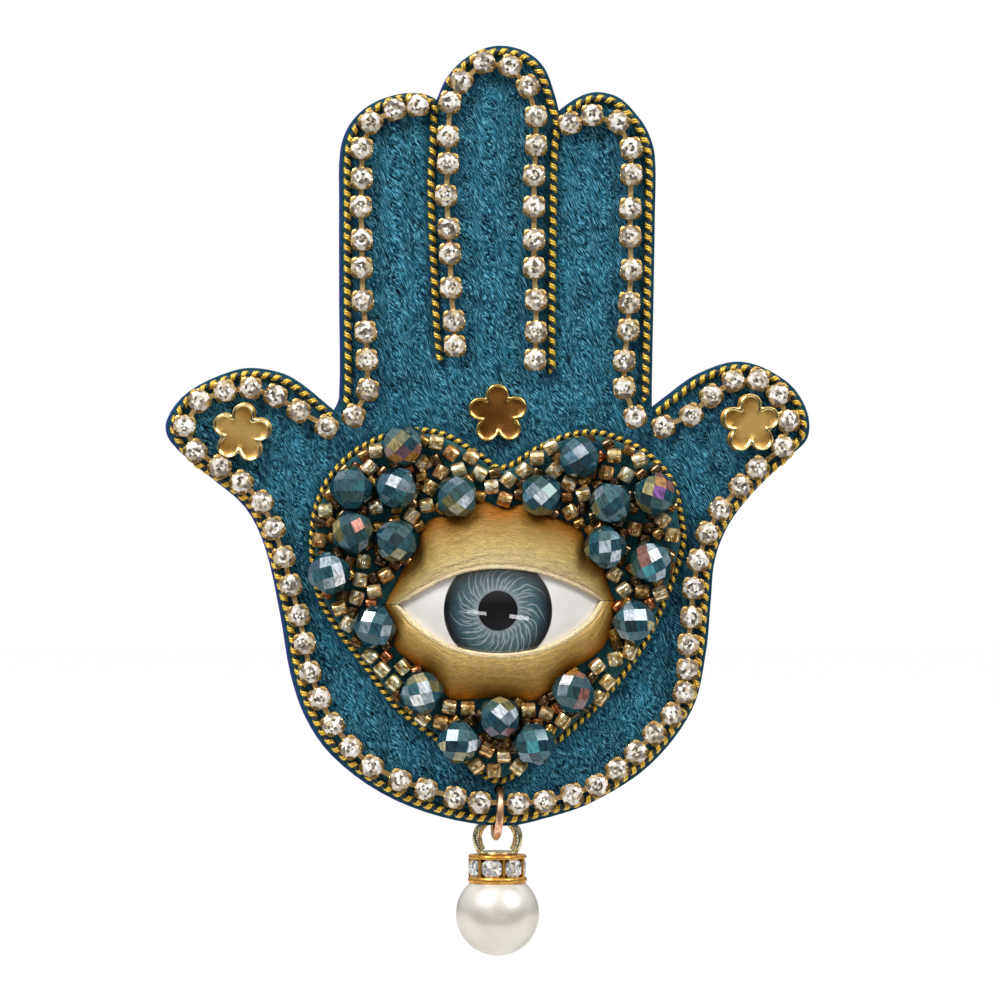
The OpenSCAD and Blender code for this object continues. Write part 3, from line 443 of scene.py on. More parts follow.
@dataclass(frozen=True)
class CutGlass:
    """Pressed and fire-polished glass with a foil or a vapour film; each facet's colour is painted, partly the glass's
    own tone and partly painted reflection.
    """

    name: str
    gloss: float = 0.08
    film_nm: float = 0.0
    clear: float = 0.0
    coat: float = 0.5
    swirl: float = 0.17

    def dress(self) -> Material:
        """The glass; its attribute tint is the colour painted on each facet: its own tone, a painted reflection or
        painted shade.
        """
        shade = Shade(self.name, Roughness=self.gloss, IOR=1.55, Coat_Weight=self.coat, Coat_Roughness=0.03,
                      Transmission_Weight=self.clear, Thin_Film_Thickness=self.film_nm)
        tint = shade.add("Attribute", attribute_name="tint")
        # The mould leaves flow lines in the glass, about 0.25 mm apart.
        flow = shade.grain(0.25, 0.9, 30)
        dark = shade.add("MapRange", {"Value": flow, "From Min": 0.35, "From Max": 0.65, "To Min": 1 - self.swirl,
                                      "To Max": 1 + self.swirl})
        return shade.coat(Base_Color=shade.add("Mix", {0: 1.0, 6: tint, 7: dark}, **TIMES))


@dataclass(frozen=True)
class LinedGlass:
    """Clear glass seed beads with a gold lining: cream and gold glints with brown edges."""

    name: str = "gold_lined_glass"

    def dress(self) -> Material:
        """The lined glass."""
        shade = Shade(self.name, Metallic=0.7, Roughness=0.14, Coat_Weight=1.0, Coat_Roughness=0.03, IOR=1.52)
        tint = shade.add("Attribute", attribute_name="tint")
        patch = shade.grain(0.45, 0.45, detail=2)
        ramp = shade.add("ValToRGB", {"Fac": patch}, stops=((0.38, "#b88c44"), (0.5, "#f4e2b2"), (0.58, "#fffdf2")))
        return shade.coat(Base_Color=shade.add("Mix", {0: 1.0, 6: ramp, 7: tint}, **TIMES))


@dataclass(frozen=True)
class FlowerGold:
    """Cast and plated flower beads: a matt, darker face inside a burnished rim."""

    name: str
    face: str
    deep: str
    rim: str

    def dress(self) -> Material:
        """The gold; its attribute burnish is 1 on the rim and 0 on the face."""
        shade = Shade(self.name, Metallic=1.0)
        skin = shade.grain(0.14, 0.14)
        sweep = shade.grain(3.0, 3.0, detail=0)
        both = shade.add("Mix", {0: 0.25, 2: sweep, 3: skin})
        ramp = shade.add("ValToRGB", {"Fac": both}, stops=((0.38, self.deep), (0.6, self.face)))
        rubbed = shade.add("Attribute", attribute_name="burnish").outputs["Fac"]
        tone = shade.add("Mix", {0: rubbed, 6: ramp, 7: self.rim}, **COLOURS)
        shade.rough(skin, 0.02)
        dull = shade.add("MapRange", {"Value": rubbed, "To Min": 0.5, "To Max": 0.16})
        return shade.coat(Base_Color=tone, Roughness=dull)


@dataclass(frozen=True)
class GildedLeather:
    """Kid leather, gilded and pulled over wadding: fine creases along the rim with painted shade and highlight in them,
    a painted highlight on the rolled rim, and painted shade that darkens it towards its tucked-in edge.
    """

    name: str
    # The rim tone is a painted highlight on the rolled rim; the tones after it darken towards the tucked-in edge as
    # painted shade, and end in amber
    rim: str = "#efddb4"
    light: str = "#c6b084"
    mid: str = "#ae9454"
    deep: str = "#9c7836"
    tuck: str = "#b47420"

    def dress(self) -> Material:
        """The leather; attributes across and along are places on it, in mm, from its rim and from its corner."""
        shade = Shade(self.name, Metallic=0.4, Roughness=0.46, Specular_IOR_Level=0.5)
        across, along, depth = (shade.add("Attribute", attribute_name=name).outputs["Fac"]
                                for name in ("across", "along", "depth"))
        # Creases are 0.3 mm apart and a few millimetres long, and they waver.
        place = shade.add("CombineXYZ", {"X": along, "Y": across})
        stretch = shade.add("Mapping", {"Vector": place, "Scale": (1.5, 8.0, 1)})
        crease = shade.add("TexNoise", {"Vector": stretch, "Scale": 1.0, "Detail": 3.0, "Distortion": 0.9})
        both = shade.add("Mix", {0: 0.45, 2: crease, 3: shade.grain(0.1, 0.1)})
        mottle = shade.add("Mix", {0: 0.5, 2: both, 3: shade.grain(1.6, 1.6, detail=2)})
        shading_and_mottle = shade.add("Mix", {0: 0.22, 2: depth, 3: mottle})
        # Pale at the rim, a painted highlight; darker towards the tucked-in edge, painted shade; amber at the edge
        ramp = shade.add("ValToRGB", {"Fac": shading_and_mottle}, stops=(
            (0.08, self.rim), (0.2, self.light), (0.46, self.mid), (0.68, self.deep), (0.8, self.tuck)))
        # Creases are darkened and the leather between them lightened: painted shade and highlight in the creases
        worn = shade.add("MapRange", {"Value": both, "From Min": 0.37, "From Max": 0.63,
                                      "To Min": 0.66, "To Max": 1.36})
        shade.rough(both, 0.13)
        return shade.coat(Base_Color=shade.add("Mix", {0: 1.0, 6: ramp, 7: worn}, **TIMES))


@dataclass(frozen=True)
class Iris:
    """Painted iris under glass: grey-blue enamel with fine pale hairs and a dark outer ring."""

    centre_px: tuple[float, float] = (498, 610)
    radius: float = 5.0
    rows: tuple[tuple[int, float, float, float], ...] = ((34, 1.9, 3.9, 0.1), (29, 2.6, 4.7, 0.13))

    def hairs(self, shade: Shade, turn: Node, far: Any, shake: Node, count: int, start: float, end: float,
              curl: float) -> Node:
        """One row of painted hairs.

        Args:
            shade: The material.
            turn: Angle round the iris, in radians.
            far: Distance from its middle, in mm.
            shake: Noise that makes the hairs waver.
            count: How many hairs there are.
            start: Where they start, in mm from the middle.
            end: Where the longest ones end.
            curl: How much they curl, in radians for each square mm.

        Returns:
            The share of the hairs' colour.
        """
        past = shade.add("Math", {0: far, 1: start}, operation="SUBTRACT")
        square = shade.add("Math", {0: past, 1: past}, operation="MULTIPLY")
        bent = shade.add("Math", {0: square, 1: curl, 2: turn}, operation="MULTIPLY_ADD")
        waver = shade.add("Math", {0: shake, 1: 0.22, 2: bent}, operation="MULTIPLY_ADD")
        cells = shade.add("Math", {0: waver, 1: count / math.tau}, operation="MULTIPLY")
        number = shade.add("Math", {0: cells}, operation="FLOOR")
        luck = shade.add("TexWhiteNoise", {"W": number}, noise_dimensions="1D")
        middle = shade.add("Math", {0: luck, 1: 0.4, 2: 0.3}, operation="MULTIPLY_ADD")
        inner = shade.add("Math", {0: cells}, operation="FRACT")
        off = shade.add("Math", {0: inner, 1: middle}, operation="SUBTRACT")
        size = shade.add("Math", {0: off}, operation="ABSOLUTE")
        gap = shade.add("Math", {0: size, 1: far}, operation="MULTIPLY")
        # A hair is about 0.1 mm wide.
        line = shade.add("MapRange", {"Value": gap, "From Min": 0.022 * count / math.tau,
                                      "From Max": 0.075 * count / math.tau, "To Min": 0.85, "To Max": 0})
        reach = shade.add("Math", {0: luck, 1: (start - end) * 0.5, 2: end}, operation="MULTIPLY_ADD")
        left = shade.add("Math", {0: reach, 1: far}, operation="SUBTRACT")
        fade = shade.add("MapRange", {"Value": left, "From Min": 0.0, "From Max": 0.5})
        rise = shade.add("MapRange", {"Value": past, "From Min": -0.1, "From Max": 0.25})
        both = shade.add("Math", {0: fade, 1: rise}, operation="MULTIPLY")
        return shade.add("Math", {0: line, 1: both}, operation="MULTIPLY")

    def dress(self) -> Material:
        """The enamel, drawn round the iris's own middle."""
        shade = Shade("iris_enamel", Roughness=0.35, Specular_IOR_Level=0.3)
        x, y = at([self.centre_px])[0]
        place = shade.add("TexCoord")
        local = shade.add("Mapping", {"Vector": place.outputs["Object"], "Location": (-x, 0, -y),
                                      "Scale": (1 / MM, 0, 1 / MM)})
        far = shade.add("VectorMath", {0: local}, operation="LENGTH").outputs["Value"]
        way = shade.add("VectorMath", {0: local}, operation="NORMALIZE").outputs["Vector"]
        # Painted hairs run out from the pupil and curl clockwise; a second row starts half way out.
        shake = shade.grain(1.3, 1.3, detail=0)
        split = shade.add("SeparateXYZ", {0: way})
        turn = shade.add("Math", {0: split.outputs["Z"], 1: split.outputs["X"]}, operation="ARCTAN2")
        rows = [self.hairs(shade, turn, far, shake, *row) for row in self.rows]
        hair = shade.add("Math", {0: rows[0], 1: rows[1]}, operation="MAXIMUM")
        share = shade.add("Math", {0: far, 1: self.radius}, operation="DIVIDE")
        # These tones are lighter than the enamel's own: painted light for the lamp light that the glass dome holds back
        ground = shade.add("ValToRGB", {"Fac": share}, stops=(
            (0.36, "#c4d2d6"), (0.5, "#7696a0"), (0.72, "#567b86"), (0.86, "#304850"), (0.94, "#101618")))
        cloud = shade.grain(0.5, 0.5, detail=5)
        tint = shade.add("Mix", {0: 0.6, 6: ground, 7: cloud}, **COLOURS, blend_type="OVERLAY")
        return shade.coat(Base_Color=shade.add("Mix", {0: hair, 6: tint, 7: "#f0f6f8"}, **COLOURS))


@dataclass(frozen=True)
class Glaze:
    """Fired or lacquered surface: smooth, with a clear coat and a faint cloud of colour."""

    name: str
    base: str
    cloud: str
    gloss: float = 0.15
    coat: float = 0.5
    cloud_mm: float = 3.0
    pearl: float = 0.0

    def dress(self) -> Material:
        """The glaze."""
        shade = Shade(self.name, Roughness=self.gloss, Coat_Weight=self.coat, Coat_Roughness=0.05)
        soft = shade.grain(self.cloud_mm, self.cloud_mm, detail=2)
        if self.pearl:
            # Layers of nacre throw back more than a glaze does, and swell a little every 2 mm.
            shade.coat(Metallic=self.pearl)
            shade.rough(shade.grain(2.2, 2.2, detail=1), 0.05)
        return shade.coat(Base_Color=shade.add("ValToRGB", {"Fac": soft}, stops=((0.35, self.cloud), (0.6, self.base))))


@dataclass(frozen=True)
class Thread:
    """Spun yarn or lurex, twisted into a cord: fibres run along it."""

    name: str
    base: str
    deep: str
    metallic: float = 0.0
    gloss: float = 0.6

    def dress(self) -> Material:
        """The thread."""
        shade = Shade(self.name, Metallic=self.metallic, Roughness=self.gloss)
        fibre = shade.grain(0.09, 0.16, 35, detail=2)
        shade.rough(fibre, 0.03)
        return shade.coat(Base_Color=shade.add("ValToRGB", {"Fac": fibre}, stops=((0.36, self.deep), (0.6, self.base))))


@dataclass(frozen=True)
class ClearGlass:
    """Lampworked clear glass over the iris; where it is fused to the enamel, light passes it without a bend."""

    name: str = "lampworked_clear_glass"
    bend: float = 1.45
    coat: float = 1.0

    def dress(self) -> Material:
        """The glass, with a trace of thickness where it was melted."""
        shade = Shade(self.name, Base_Color="#ffffff", Transmission_Weight=1.0, IOR=self.bend, Roughness=0.0,
                      Coat_Weight=self.coat, Coat_IOR=1.6, Coat_Roughness=0.0)
        shade.rough(shade.grain(3.0, 3.0, detail=0), 0.0005)
        return shade.material


def placed(name: str, data: bpy.types.ID) -> Object:
    """Puts an object with this data into the scene."""
    obj = bpy.data.objects.new(name, data)
    bpy.context.scene.collection.objects.link(obj)
    return obj


def redress(node: str, material: Material) -> None:
    """Gives a CAD node its real finish."""
    mesh = frame["nodes"][node].data
    mesh.materials.clear()
    mesh.materials.append(material)


def saved(bm: BMesh, name: str = "shape") -> bpy.types.Mesh:
    """Ends a shape and keeps it as a mesh."""
    mesh = bpy.data.meshes.new(name)
    bm.to_mesh(mesh)
    bm.free()
    return mesh


def turned(angle: float, axis: str = "Z") -> Matrix:
    """Turn about an axis, by an angle in radians."""
    return Matrix.Rotation(angle, 4, axis)


def any_of(tones: Sequence[str], rng: Rng) -> str:
    """One of some colours, by chance."""
    return tones[int(rng.integers(len(tones)))]


class Piece:
    """One piece while it is made on the bench."""

    def __init__(self, name: str) -> None:
        """Starts an empty piece."""
        self.name = name
        self.bm: BMesh = bmesh.new()

    def places(self) -> Points:
        """Places of all vertices."""
        return np.array([v.co for v in self.bm.verts], float).reshape(-1, 3)

    def mark(self, name: str, values: Iterable[float]) -> None:
        """Writes one number on each vertex for the material to read."""
        layer = self.bm.verts.layers.float.get(name) or self.bm.verts.layers.float.new(name)
        for vert, value in zip(self.bm.verts, values):
            vert[layer] = float(value)

    def tint(self, faces: Iterable[BMFace], code: str) -> None:
        """Gives faces the colour that they throw back."""
        layer = self.bm.loops.layers.float_color.get("tint") or self.bm.loops.layers.float_color.new("tint")
        for face in faces:
            for corner in face.loops:
                corner[layer] = linear(code)

    def add_shape(self, mesh: bpy.types.Mesh, place: Matrix = Matrix(), index: int = 0) -> list[BMFace]:
        """Adds a copy of a shape at a place, in one of the piece's materials, and returns its faces."""
        verts, faces = len(self.bm.verts), len(self.bm.faces)
        self.bm.from_mesh(mesh)
        self.bm.verts.ensure_lookup_table()
        self.bm.faces.ensure_lookup_table()
        bmesh.ops.transform(self.bm, matrix=place, verts=self.bm.verts[verts:])
        made = self.bm.faces[faces:]
        for face in made:
            face.material_index = index
        return made

    def boolean(self, tool: BMesh, cut: Cut) -> None:
        """Cuts away or keeps what another closed shape covers, and uses that shape up."""
        holder, cutter = (placed("bench", saved(bm)) for bm in (self.bm, tool))
        modifier = holder.modifiers.new("cut", "BOOLEAN")
        modifier.operation, modifier.solver, modifier.object = cut.value, "EXACT", cutter
        bpy.context.view_layer.update()
        done = bpy.data.meshes.new_from_object(holder.evaluated_get(bpy.context.evaluated_depsgraph_get()))
        self.bm = bmesh.new()
        self.bm.from_mesh(done)
        bpy.data.batch_remove([holder, cutter, holder.data, cutter.data, done])

    def hang(self, materials: Sequence[Material], slot: str, node: str, crease: float,
             body: Body = Body.HAND) -> Object:
        """Hangs the piece in the row frame.

        Args:
            materials: Its materials, in the order of its faces' indices.
            slot: The record's material slot; not used.
            node: CAD node that it stands for.
            crease: Angle, in degrees, past which an edge looks sharp.
            body: The body that it rides on.

        Returns:
            The object.
        """
        bmesh.ops.remove_doubles(self.bm, verts=self.bm.verts, dist=1e-4)
        bmesh.ops.recalc_face_normals(self.bm, faces=self.bm.faces)
        bmesh.ops.transform(self.bm, matrix=BENCH_TO_ROW, verts=self.bm.verts)
        for face in self.bm.faces:
            face.smooth = True
        mesh = saved(self.bm, self.name)
        mesh.set_sharp_from_angle(angle=math.radians(crease))
        for material in materials:
            mesh.materials.append(material)
        obj = placed(self.name, mesh)
        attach(obj, body.value)
        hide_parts(node)
        LOG.info("%s: %d faces", self.name, len(mesh.polygons))
        return obj


def pull(bm: BMesh, faces: Sequence[BMFace], shift: tuple[float, float, float], widen: float = 1.0) -> list[BMFace]:
    """Extrudes faces, moves them and widens them about their own middle.

    Args:
        bm: The shape.
        faces: The faces to pull out.
        shift: How far they go.
        widen: Their new width over their old one.

    Returns:
        The faces at the far end.
    """
    made = bmesh.ops.extrude_face_region(bm, geom=list(faces))["geom"]
    verts = [g for g in made if isinstance(g, BMVert)]
    middle = sum((v.co for v in verts), Vector()) / len(verts)
    bmesh.ops.scale(bm, vec=(widen, widen, 1), space=Matrix.Translation(-middle), verts=verts)
    bmesh.ops.translate(bm, vec=shift, verts=verts)
    return [g for g in made if isinstance(g, BMFace)]


def level_of(node: str) -> float:
    """Height of the front of a CAD node over the bench, in mm."""
    return -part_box(node)[0].y / MM


def hull(points: Iterable[Sequence[float]]) -> BMesh:
    """Cut stone: the convex solid over its corners, with one face for each facet."""
    bm = bmesh.new()
    for point in points:
        bm.verts.new(point)
    bmesh.ops.convex_hull(bm, input=bm.verts[:])
    bmesh.ops.dissolve_limit(bm, angle_limit=math.radians(2), verts=bm.verts[:], edges=bm.edges[:])
    return bm


def column(middle: Points, radius: float, low: float, high: float, segments: int) -> BMesh:
    """Upright round column between two heights."""
    bm = bmesh.new()
    bmesh.ops.create_cone(bm, cap_ends=True, segments=segments, radius1=radius, radius2=radius, depth=high - low,
                          matrix=Matrix.Translation((*middle, (low + high) / 2)))
    return bm


def slab(name: str, outline: Points, low: float, high: float, soft: float, rims: Sequence[float]) -> Piece:
    """Flat layer cut along an outline.

    Args:
        name: Name of the piece.
        outline: Its edge, once round.
        low: Height of its back.
        high: Height of its front.
        soft: Width of the softened rims.
        rims: Heights of the rims that are softened.

    Returns:
        The layer.
    """
    piece = Piece(name)
    face = piece.bm.faces.new([piece.bm.verts.new((x, y, low)) for x, y in outline])
    pull(piece.bm, [face], (0, 0, high - low))
    sharp = [e for e in piece.bm.edges if any(all(abs(v.co.z - rim) < 1e-4 for v in e.verts) for rim in rims)]
    bmesh.ops.bevel(piece.bm, geom=sharp, offset=soft, segments=3, profile=0.5, material=-1, affect="EDGES")
    return piece


def flat_sheet(outline: Points, step: float, bands: Sequence[float] = ()) -> BMesh:
    """Flat sheet inside an outline, with narrow bands along its edge and a square grid inside.

    Args:
        outline: The edge, once round.
        step: Size of a square.
        bands: Widths of the bands, from the edge inwards.

    Returns:
        The sheet at height 0.
    """
    bm = bmesh.new()
    face = bm.faces.new([bm.verts.new((x, y, 0)) for x, y in outline])
    for width in bands:
        bmesh.ops.inset_region(bm, faces=[face], thickness=width, use_boundary=True, use_even_offset=True)
    for low, high, way in zip(outline.min(axis=0), outline.max(axis=0), (Vector((1, 0, 0)), Vector((0, 1, 0)))):
        for mark in np.arange(low + step / 2, high, step):
            bmesh.ops.bisect_plane(bm, geom=bm.verts[:] + bm.edges[:] + bm.faces[:], dist=1e-5,
                                   plane_co=way * mark, plane_no=way)
    return bm


def thicken(bm: BMesh, floor: float) -> None:
    """Closes an open sheet down to a flat floor."""
    rim = [e for e in bm.edges if e.is_boundary]
    made = bmesh.ops.extrude_edge_only(bm, edges=rim)["geom"]
    for vert in (g for g in made if isinstance(g, BMVert)):
        vert.co.z = floor
    low = [g for g in made if isinstance(g, bmesh.types.BMEdge)]
    bmesh.ops.contextual_create(bm, geom=[e for e in low if e.is_boundary])


class Skin:
    """Surface drawn through rings of points, one extrusion from each ring to the next."""

    def __init__(self, bm: BMesh, ring: Points) -> None:
        """Starts at the first ring, which is closed."""
        self.bm = bm
        self.verts: list[BMVert] = [bm.verts.new(p) for p in ring]
        self.edges = [bm.edges.new(pair) for pair in zip(self.verts, self.verts[1:] + self.verts[:1])]

    def to(self, ring: Points) -> None:
        """Extrudes the last ring and sets its points on the next one."""
        made = bmesh.ops.extrude_edge_only(self.bm, edges=self.edges)["geom"]
        fresh = {g for g in made if isinstance(g, BMVert)}
        after = [next(e.other_vert(v) for e in v.link_edges if e.other_vert(v) in fresh) for v in self.verts]
        for vert, place in zip(after, ring):
            vert.co = place
        self.verts = after
        self.edges = [g for g in made if isinstance(g, bmesh.types.BMEdge) and all(v in fresh for v in g.verts)]


def edge_outline(steps: int = 6) -> Points:
    """Edge of the hand, clockwise, once round."""
    return np.vstack([smooth_run(at(px), steps)[:-1] for px in EDGES_PX])


@dataclass
class CordTrim:
    """Twisted cords: one gold lurex strand and one dark one, sewn along the edge and round the heart."""

    d: float = 0.72
    inset: float = 0.62
    foot_d: float = 0.8
    ease_off: float = 0.2
    seat: float = 0.05
    heart_d: float = 0.6
    pitch: float = 1.02
    heart_pitch: float = 0.84
    turn_points: int = 12
    front_slip: float = 0.07
    gold_share: float = 0.19
    gold_shift: float = 0.68

    def edge_route(self, edge_px: Sequence, stones_px: Sequence, skip: int) -> Points:
        """Route of a cord beside an edge, clear of the chain; skip is how many points it leaves out at its ends."""
        edge = smooth_run(at(edge_px), 3)
        path = (edge + side_of(edge) * self.inset)[skip:len(edge) - skip]
        return give_way(path, at(stones_px), (self.foot_d + self.d) / 2 + self.ease_off)

    def routes(self) -> dict[str, Points]:
        """Route of each edge cord, by the node that it stands for; two of them turn in at a parting."""
        index, middle, ring, palm = map(self.edge_route, EDGES_PX, CHAINS_PX.values(), (2, 2, 1, 0))
        left, right = smooth_run(at(LEFT_PART_PX), 3), smooth_run(at(RIGHT_PART_PX), 3)
        return {"index_cord": np.vstack([index, left]), "middle_cord": np.vstack([middle, right]),
                "ring_cord": ring, "palm_cord": palm}

    def heart_route(self) -> Points:
        """Route of the fine cord, once round."""
        return smooth_run(at(HEART_PX), 3, Ends.CLOSED)

    def strand(self, points: Points, radius: float, ends: Ends) -> bpy.types.Mesh:
        """Round strand through points, drawn as a curve and made a mesh."""
        curve = bpy.data.curves.new("strand", "CURVE")
        curve.dimensions = "3D"
        curve.bevel_depth = radius
        curve.bevel_resolution = 1
        curve.use_fill_caps = ends is Ends.OPEN
        spline = curve.splines.new("POLY")
        spline.points.add(len(points) - 1)
        spline.points.foreach_set("co", np.column_stack([points, np.ones(len(points))]).ravel())
        spline.use_cyclic_u = ends is Ends.CLOSED
        holder = bpy.data.objects.new("strand", curve)
        mesh = bpy.data.meshes.new_from_object(holder)
        bpy.data.objects.remove(holder)
        bpy.data.curves.remove(curve)
        return mesh

    def twisted(self, name: str, path: Points, height: float, d: float, pitch: float, ends: Ends) -> Piece:
        """Gold strands laid round a dark one along a path."""
        fine = spaced(smooth_run(path, 4, ends), pitch / self.turn_points, ends)
        side = side_of(fine, ends)
        turns = round(len(fine) / self.turn_points) if ends is Ends.CLOSED else len(fine) / self.turn_points
        phase = np.arange(len(fine)) / len(fine) * turns * math.tau
        piece = Piece(name)
        core = np.column_stack([fine, np.full(len(fine), height - d * 0.05)])[:: 1 if ends is Ends.CLOSED else 2]
        piece.add_shape(self.strand(core, d * 0.33, ends), index=1)
        # Two gold strands lie side by side; they cross the front of the dark one faster than they come back behind it.
        radius = d * self.gold_share
        lean = d / 2 - radius
        way = np.column_stack([-side[:, 1], side[:, 0]])
        for shift in (-self.gold_shift, self.gold_shift):
            swing, lift = np.cos(phase + shift), np.sin(phase + shift)
            flat = fine + side * (swing * lean)[:, None] + way * (swing * pitch * self.front_slip)[:, None]
            piece.add_shape(self.strand(np.column_stack([flat, height + lift * lean]), radius, ends))
        return piece

    def build(self) -> None:
        """Lays all five cords."""
        gold = Thread("gold_lurex_strand", "#ffe060", "#cf9a26", metallic=0.45, gloss=0.26).dress()
        dark = Thread("dark_viscose_strand", "#14343c", "#030a0e").dress()
        base = level_of("velvet_face") + self.seat
        runs = [(node, path, self.d, self.pitch, Ends.OPEN) for node, path in self.routes().items()]
        runs.append(("heart_cord", self.heart_route(), self.heart_d, self.heart_pitch, Ends.CLOSED))
        for node, path, d, pitch, ends in runs:
            piece = self.twisted(node + "_twist", path, base + d / 2, d, pitch, ends)
            piece.hang([gold, dark], "twist_cord", node, crease=80)


@dataclass
class Hand:
    """Velvet face over a core and a felt back."""

    grid: float = 0.42
    round_w: float = 0.45
    puff: float = 0.3
    slack: tuple[float, float] = (0.9, 3.2)
    wave_t: float = 0.03
    # Distances, in mm, from a seam over which its darkening fades: partly real flattened pile, partly painted shade
    held: tuple[float, float] = (0.3, 1.15)
    core_inset: float = 0.1
    back_t: float = 0.5
    hole_px: tuple[float, float] = (499.1, 788)
    velvet_hole: tuple[float, float] = (0.95, 0.14)
    core_hole: tuple[float, float] = (0.86, 0.02)
    back_hole: tuple[float, float] = (0.92, 0.1)
    back_shift: tuple[float, float] = (-0.22, -0.05)

    def features(self) -> Points:
        """Finely spaced places where the velvet is sewn down."""
        cords = [*CordTrim().routes().values(), CordTrim().heart_route()]
        return np.vstack([spaced(p, 0.4) for p in cords + [at(px) for px in CHAINS_PX.values()]])

    def pierce(self, piece: Piece, low: float, high: float, hole: tuple[float, float]) -> None:
        """Round hole for the jump ring, which bends down as it comes out; the pile closes round the wire.

        Args:
            piece: The layer that is pierced.
            low: Height of its back.
            high: Height of its front.
            hole: Diameter of the hole, and how far it sinks below its place.
        """
        d, sink = hole
        middle = at([self.hole_px])[0] - (0, sink)
        piece.boolean(column(middle, d / 2, low - 1, high + 1, 40), Cut.AWAY)

    def velvet(self) -> None:
        """Velvet sheet: it rolls over at the edge and swells between its seams."""
        outline = edge_outline()
        front, floor = level_of("velvet_face"), level_of("core_pad")
        piece = Piece("velvet_cover")
        piece.bm = flat_sheet(outline, self.grid, (0.03, 0.06, 0.12, 0.22))
        rng = np.random.default_rng(7)
        flat = piece.places()[:, :2]
        rim = spaced(outline, 0.12, Ends.CLOSED)
        edge = np.clip(distance_to(flat, rim), 0, self.round_w)
        sewn = distance_to(flat, self.features())
        heart = inside(flat, CordTrim().heart_route())
        height = front - self.round_w + np.sqrt(self.round_w**2 - (self.round_w - edge) ** 2)
        swell = self.puff * ease(sewn, *self.slack) * (~heart)
        wave = sum(self.wave_t * np.sin(flat @ rng.normal(0, 1.1, 2) + rng.uniform(0, 6)) for _ in range(6))
        for vert, z in zip(piece.bm.verts, height + swell + np.where(heart, 0, wave * ease(sewn, 0.9, 2.5))):
            vert.co.z = z
        thicken(piece.bm, floor)
        self.pierce(piece, floor, front, self.velvet_hole)
        flat = piece.places()[:, :2]
        # Darker near cords and chains, partly real flattened pile and partly painted shade; painted shade along the
        # rolled edge too
        press_and_shade = 1 - ease(distance_to(flat, self.features()), *self.held)
        rolled = 1 - ease(distance_to(flat, rim), 0.0, 0.5)
        piece.mark("pressed_and_shaded", np.clip(0.65 * press_and_shade + 0.35 * rolled, 0, 0.9))
        piece.hang([Velvet().dress()], "teal_velvet", "velvet_face", crease=50)

    def layer(self, name: str, outline: Points, low: float, high: float, soft: float,
              hole: tuple[float, float]) -> Piece:
        """Flat felt layer with softened rims and the hole for the ring."""
        piece = slab(name, outline, low, high, soft, (low, high))
        self.pierce(piece, low, high, hole)
        return piece

    def build(self) -> None:
        """Makes the three layers; the core is cut a little smaller, and the back lies a little beside its place."""
        self.velvet()
        outline = edge_outline(4)
        seam, front = level_of("back_cover"), level_of("core_pad")
        core = self.layer("core_wadding", outline + side_of(outline, Ends.CLOSED) * self.core_inset, seam, front, 0.12,
                          self.core_hole)
        core.hang([Felt("core_felt", "#0a1016", "#1c2832").dress()], "core_felt", "core_pad", 35)
        back = self.layer("back_felt", outline + self.back_shift, seam - self.back_t, seam, 0.15, self.back_hole)
        back.hang([Felt("backing_felt", "#232970", "#3d47a2").dress()], "backing_felt", "back_cover", 35)


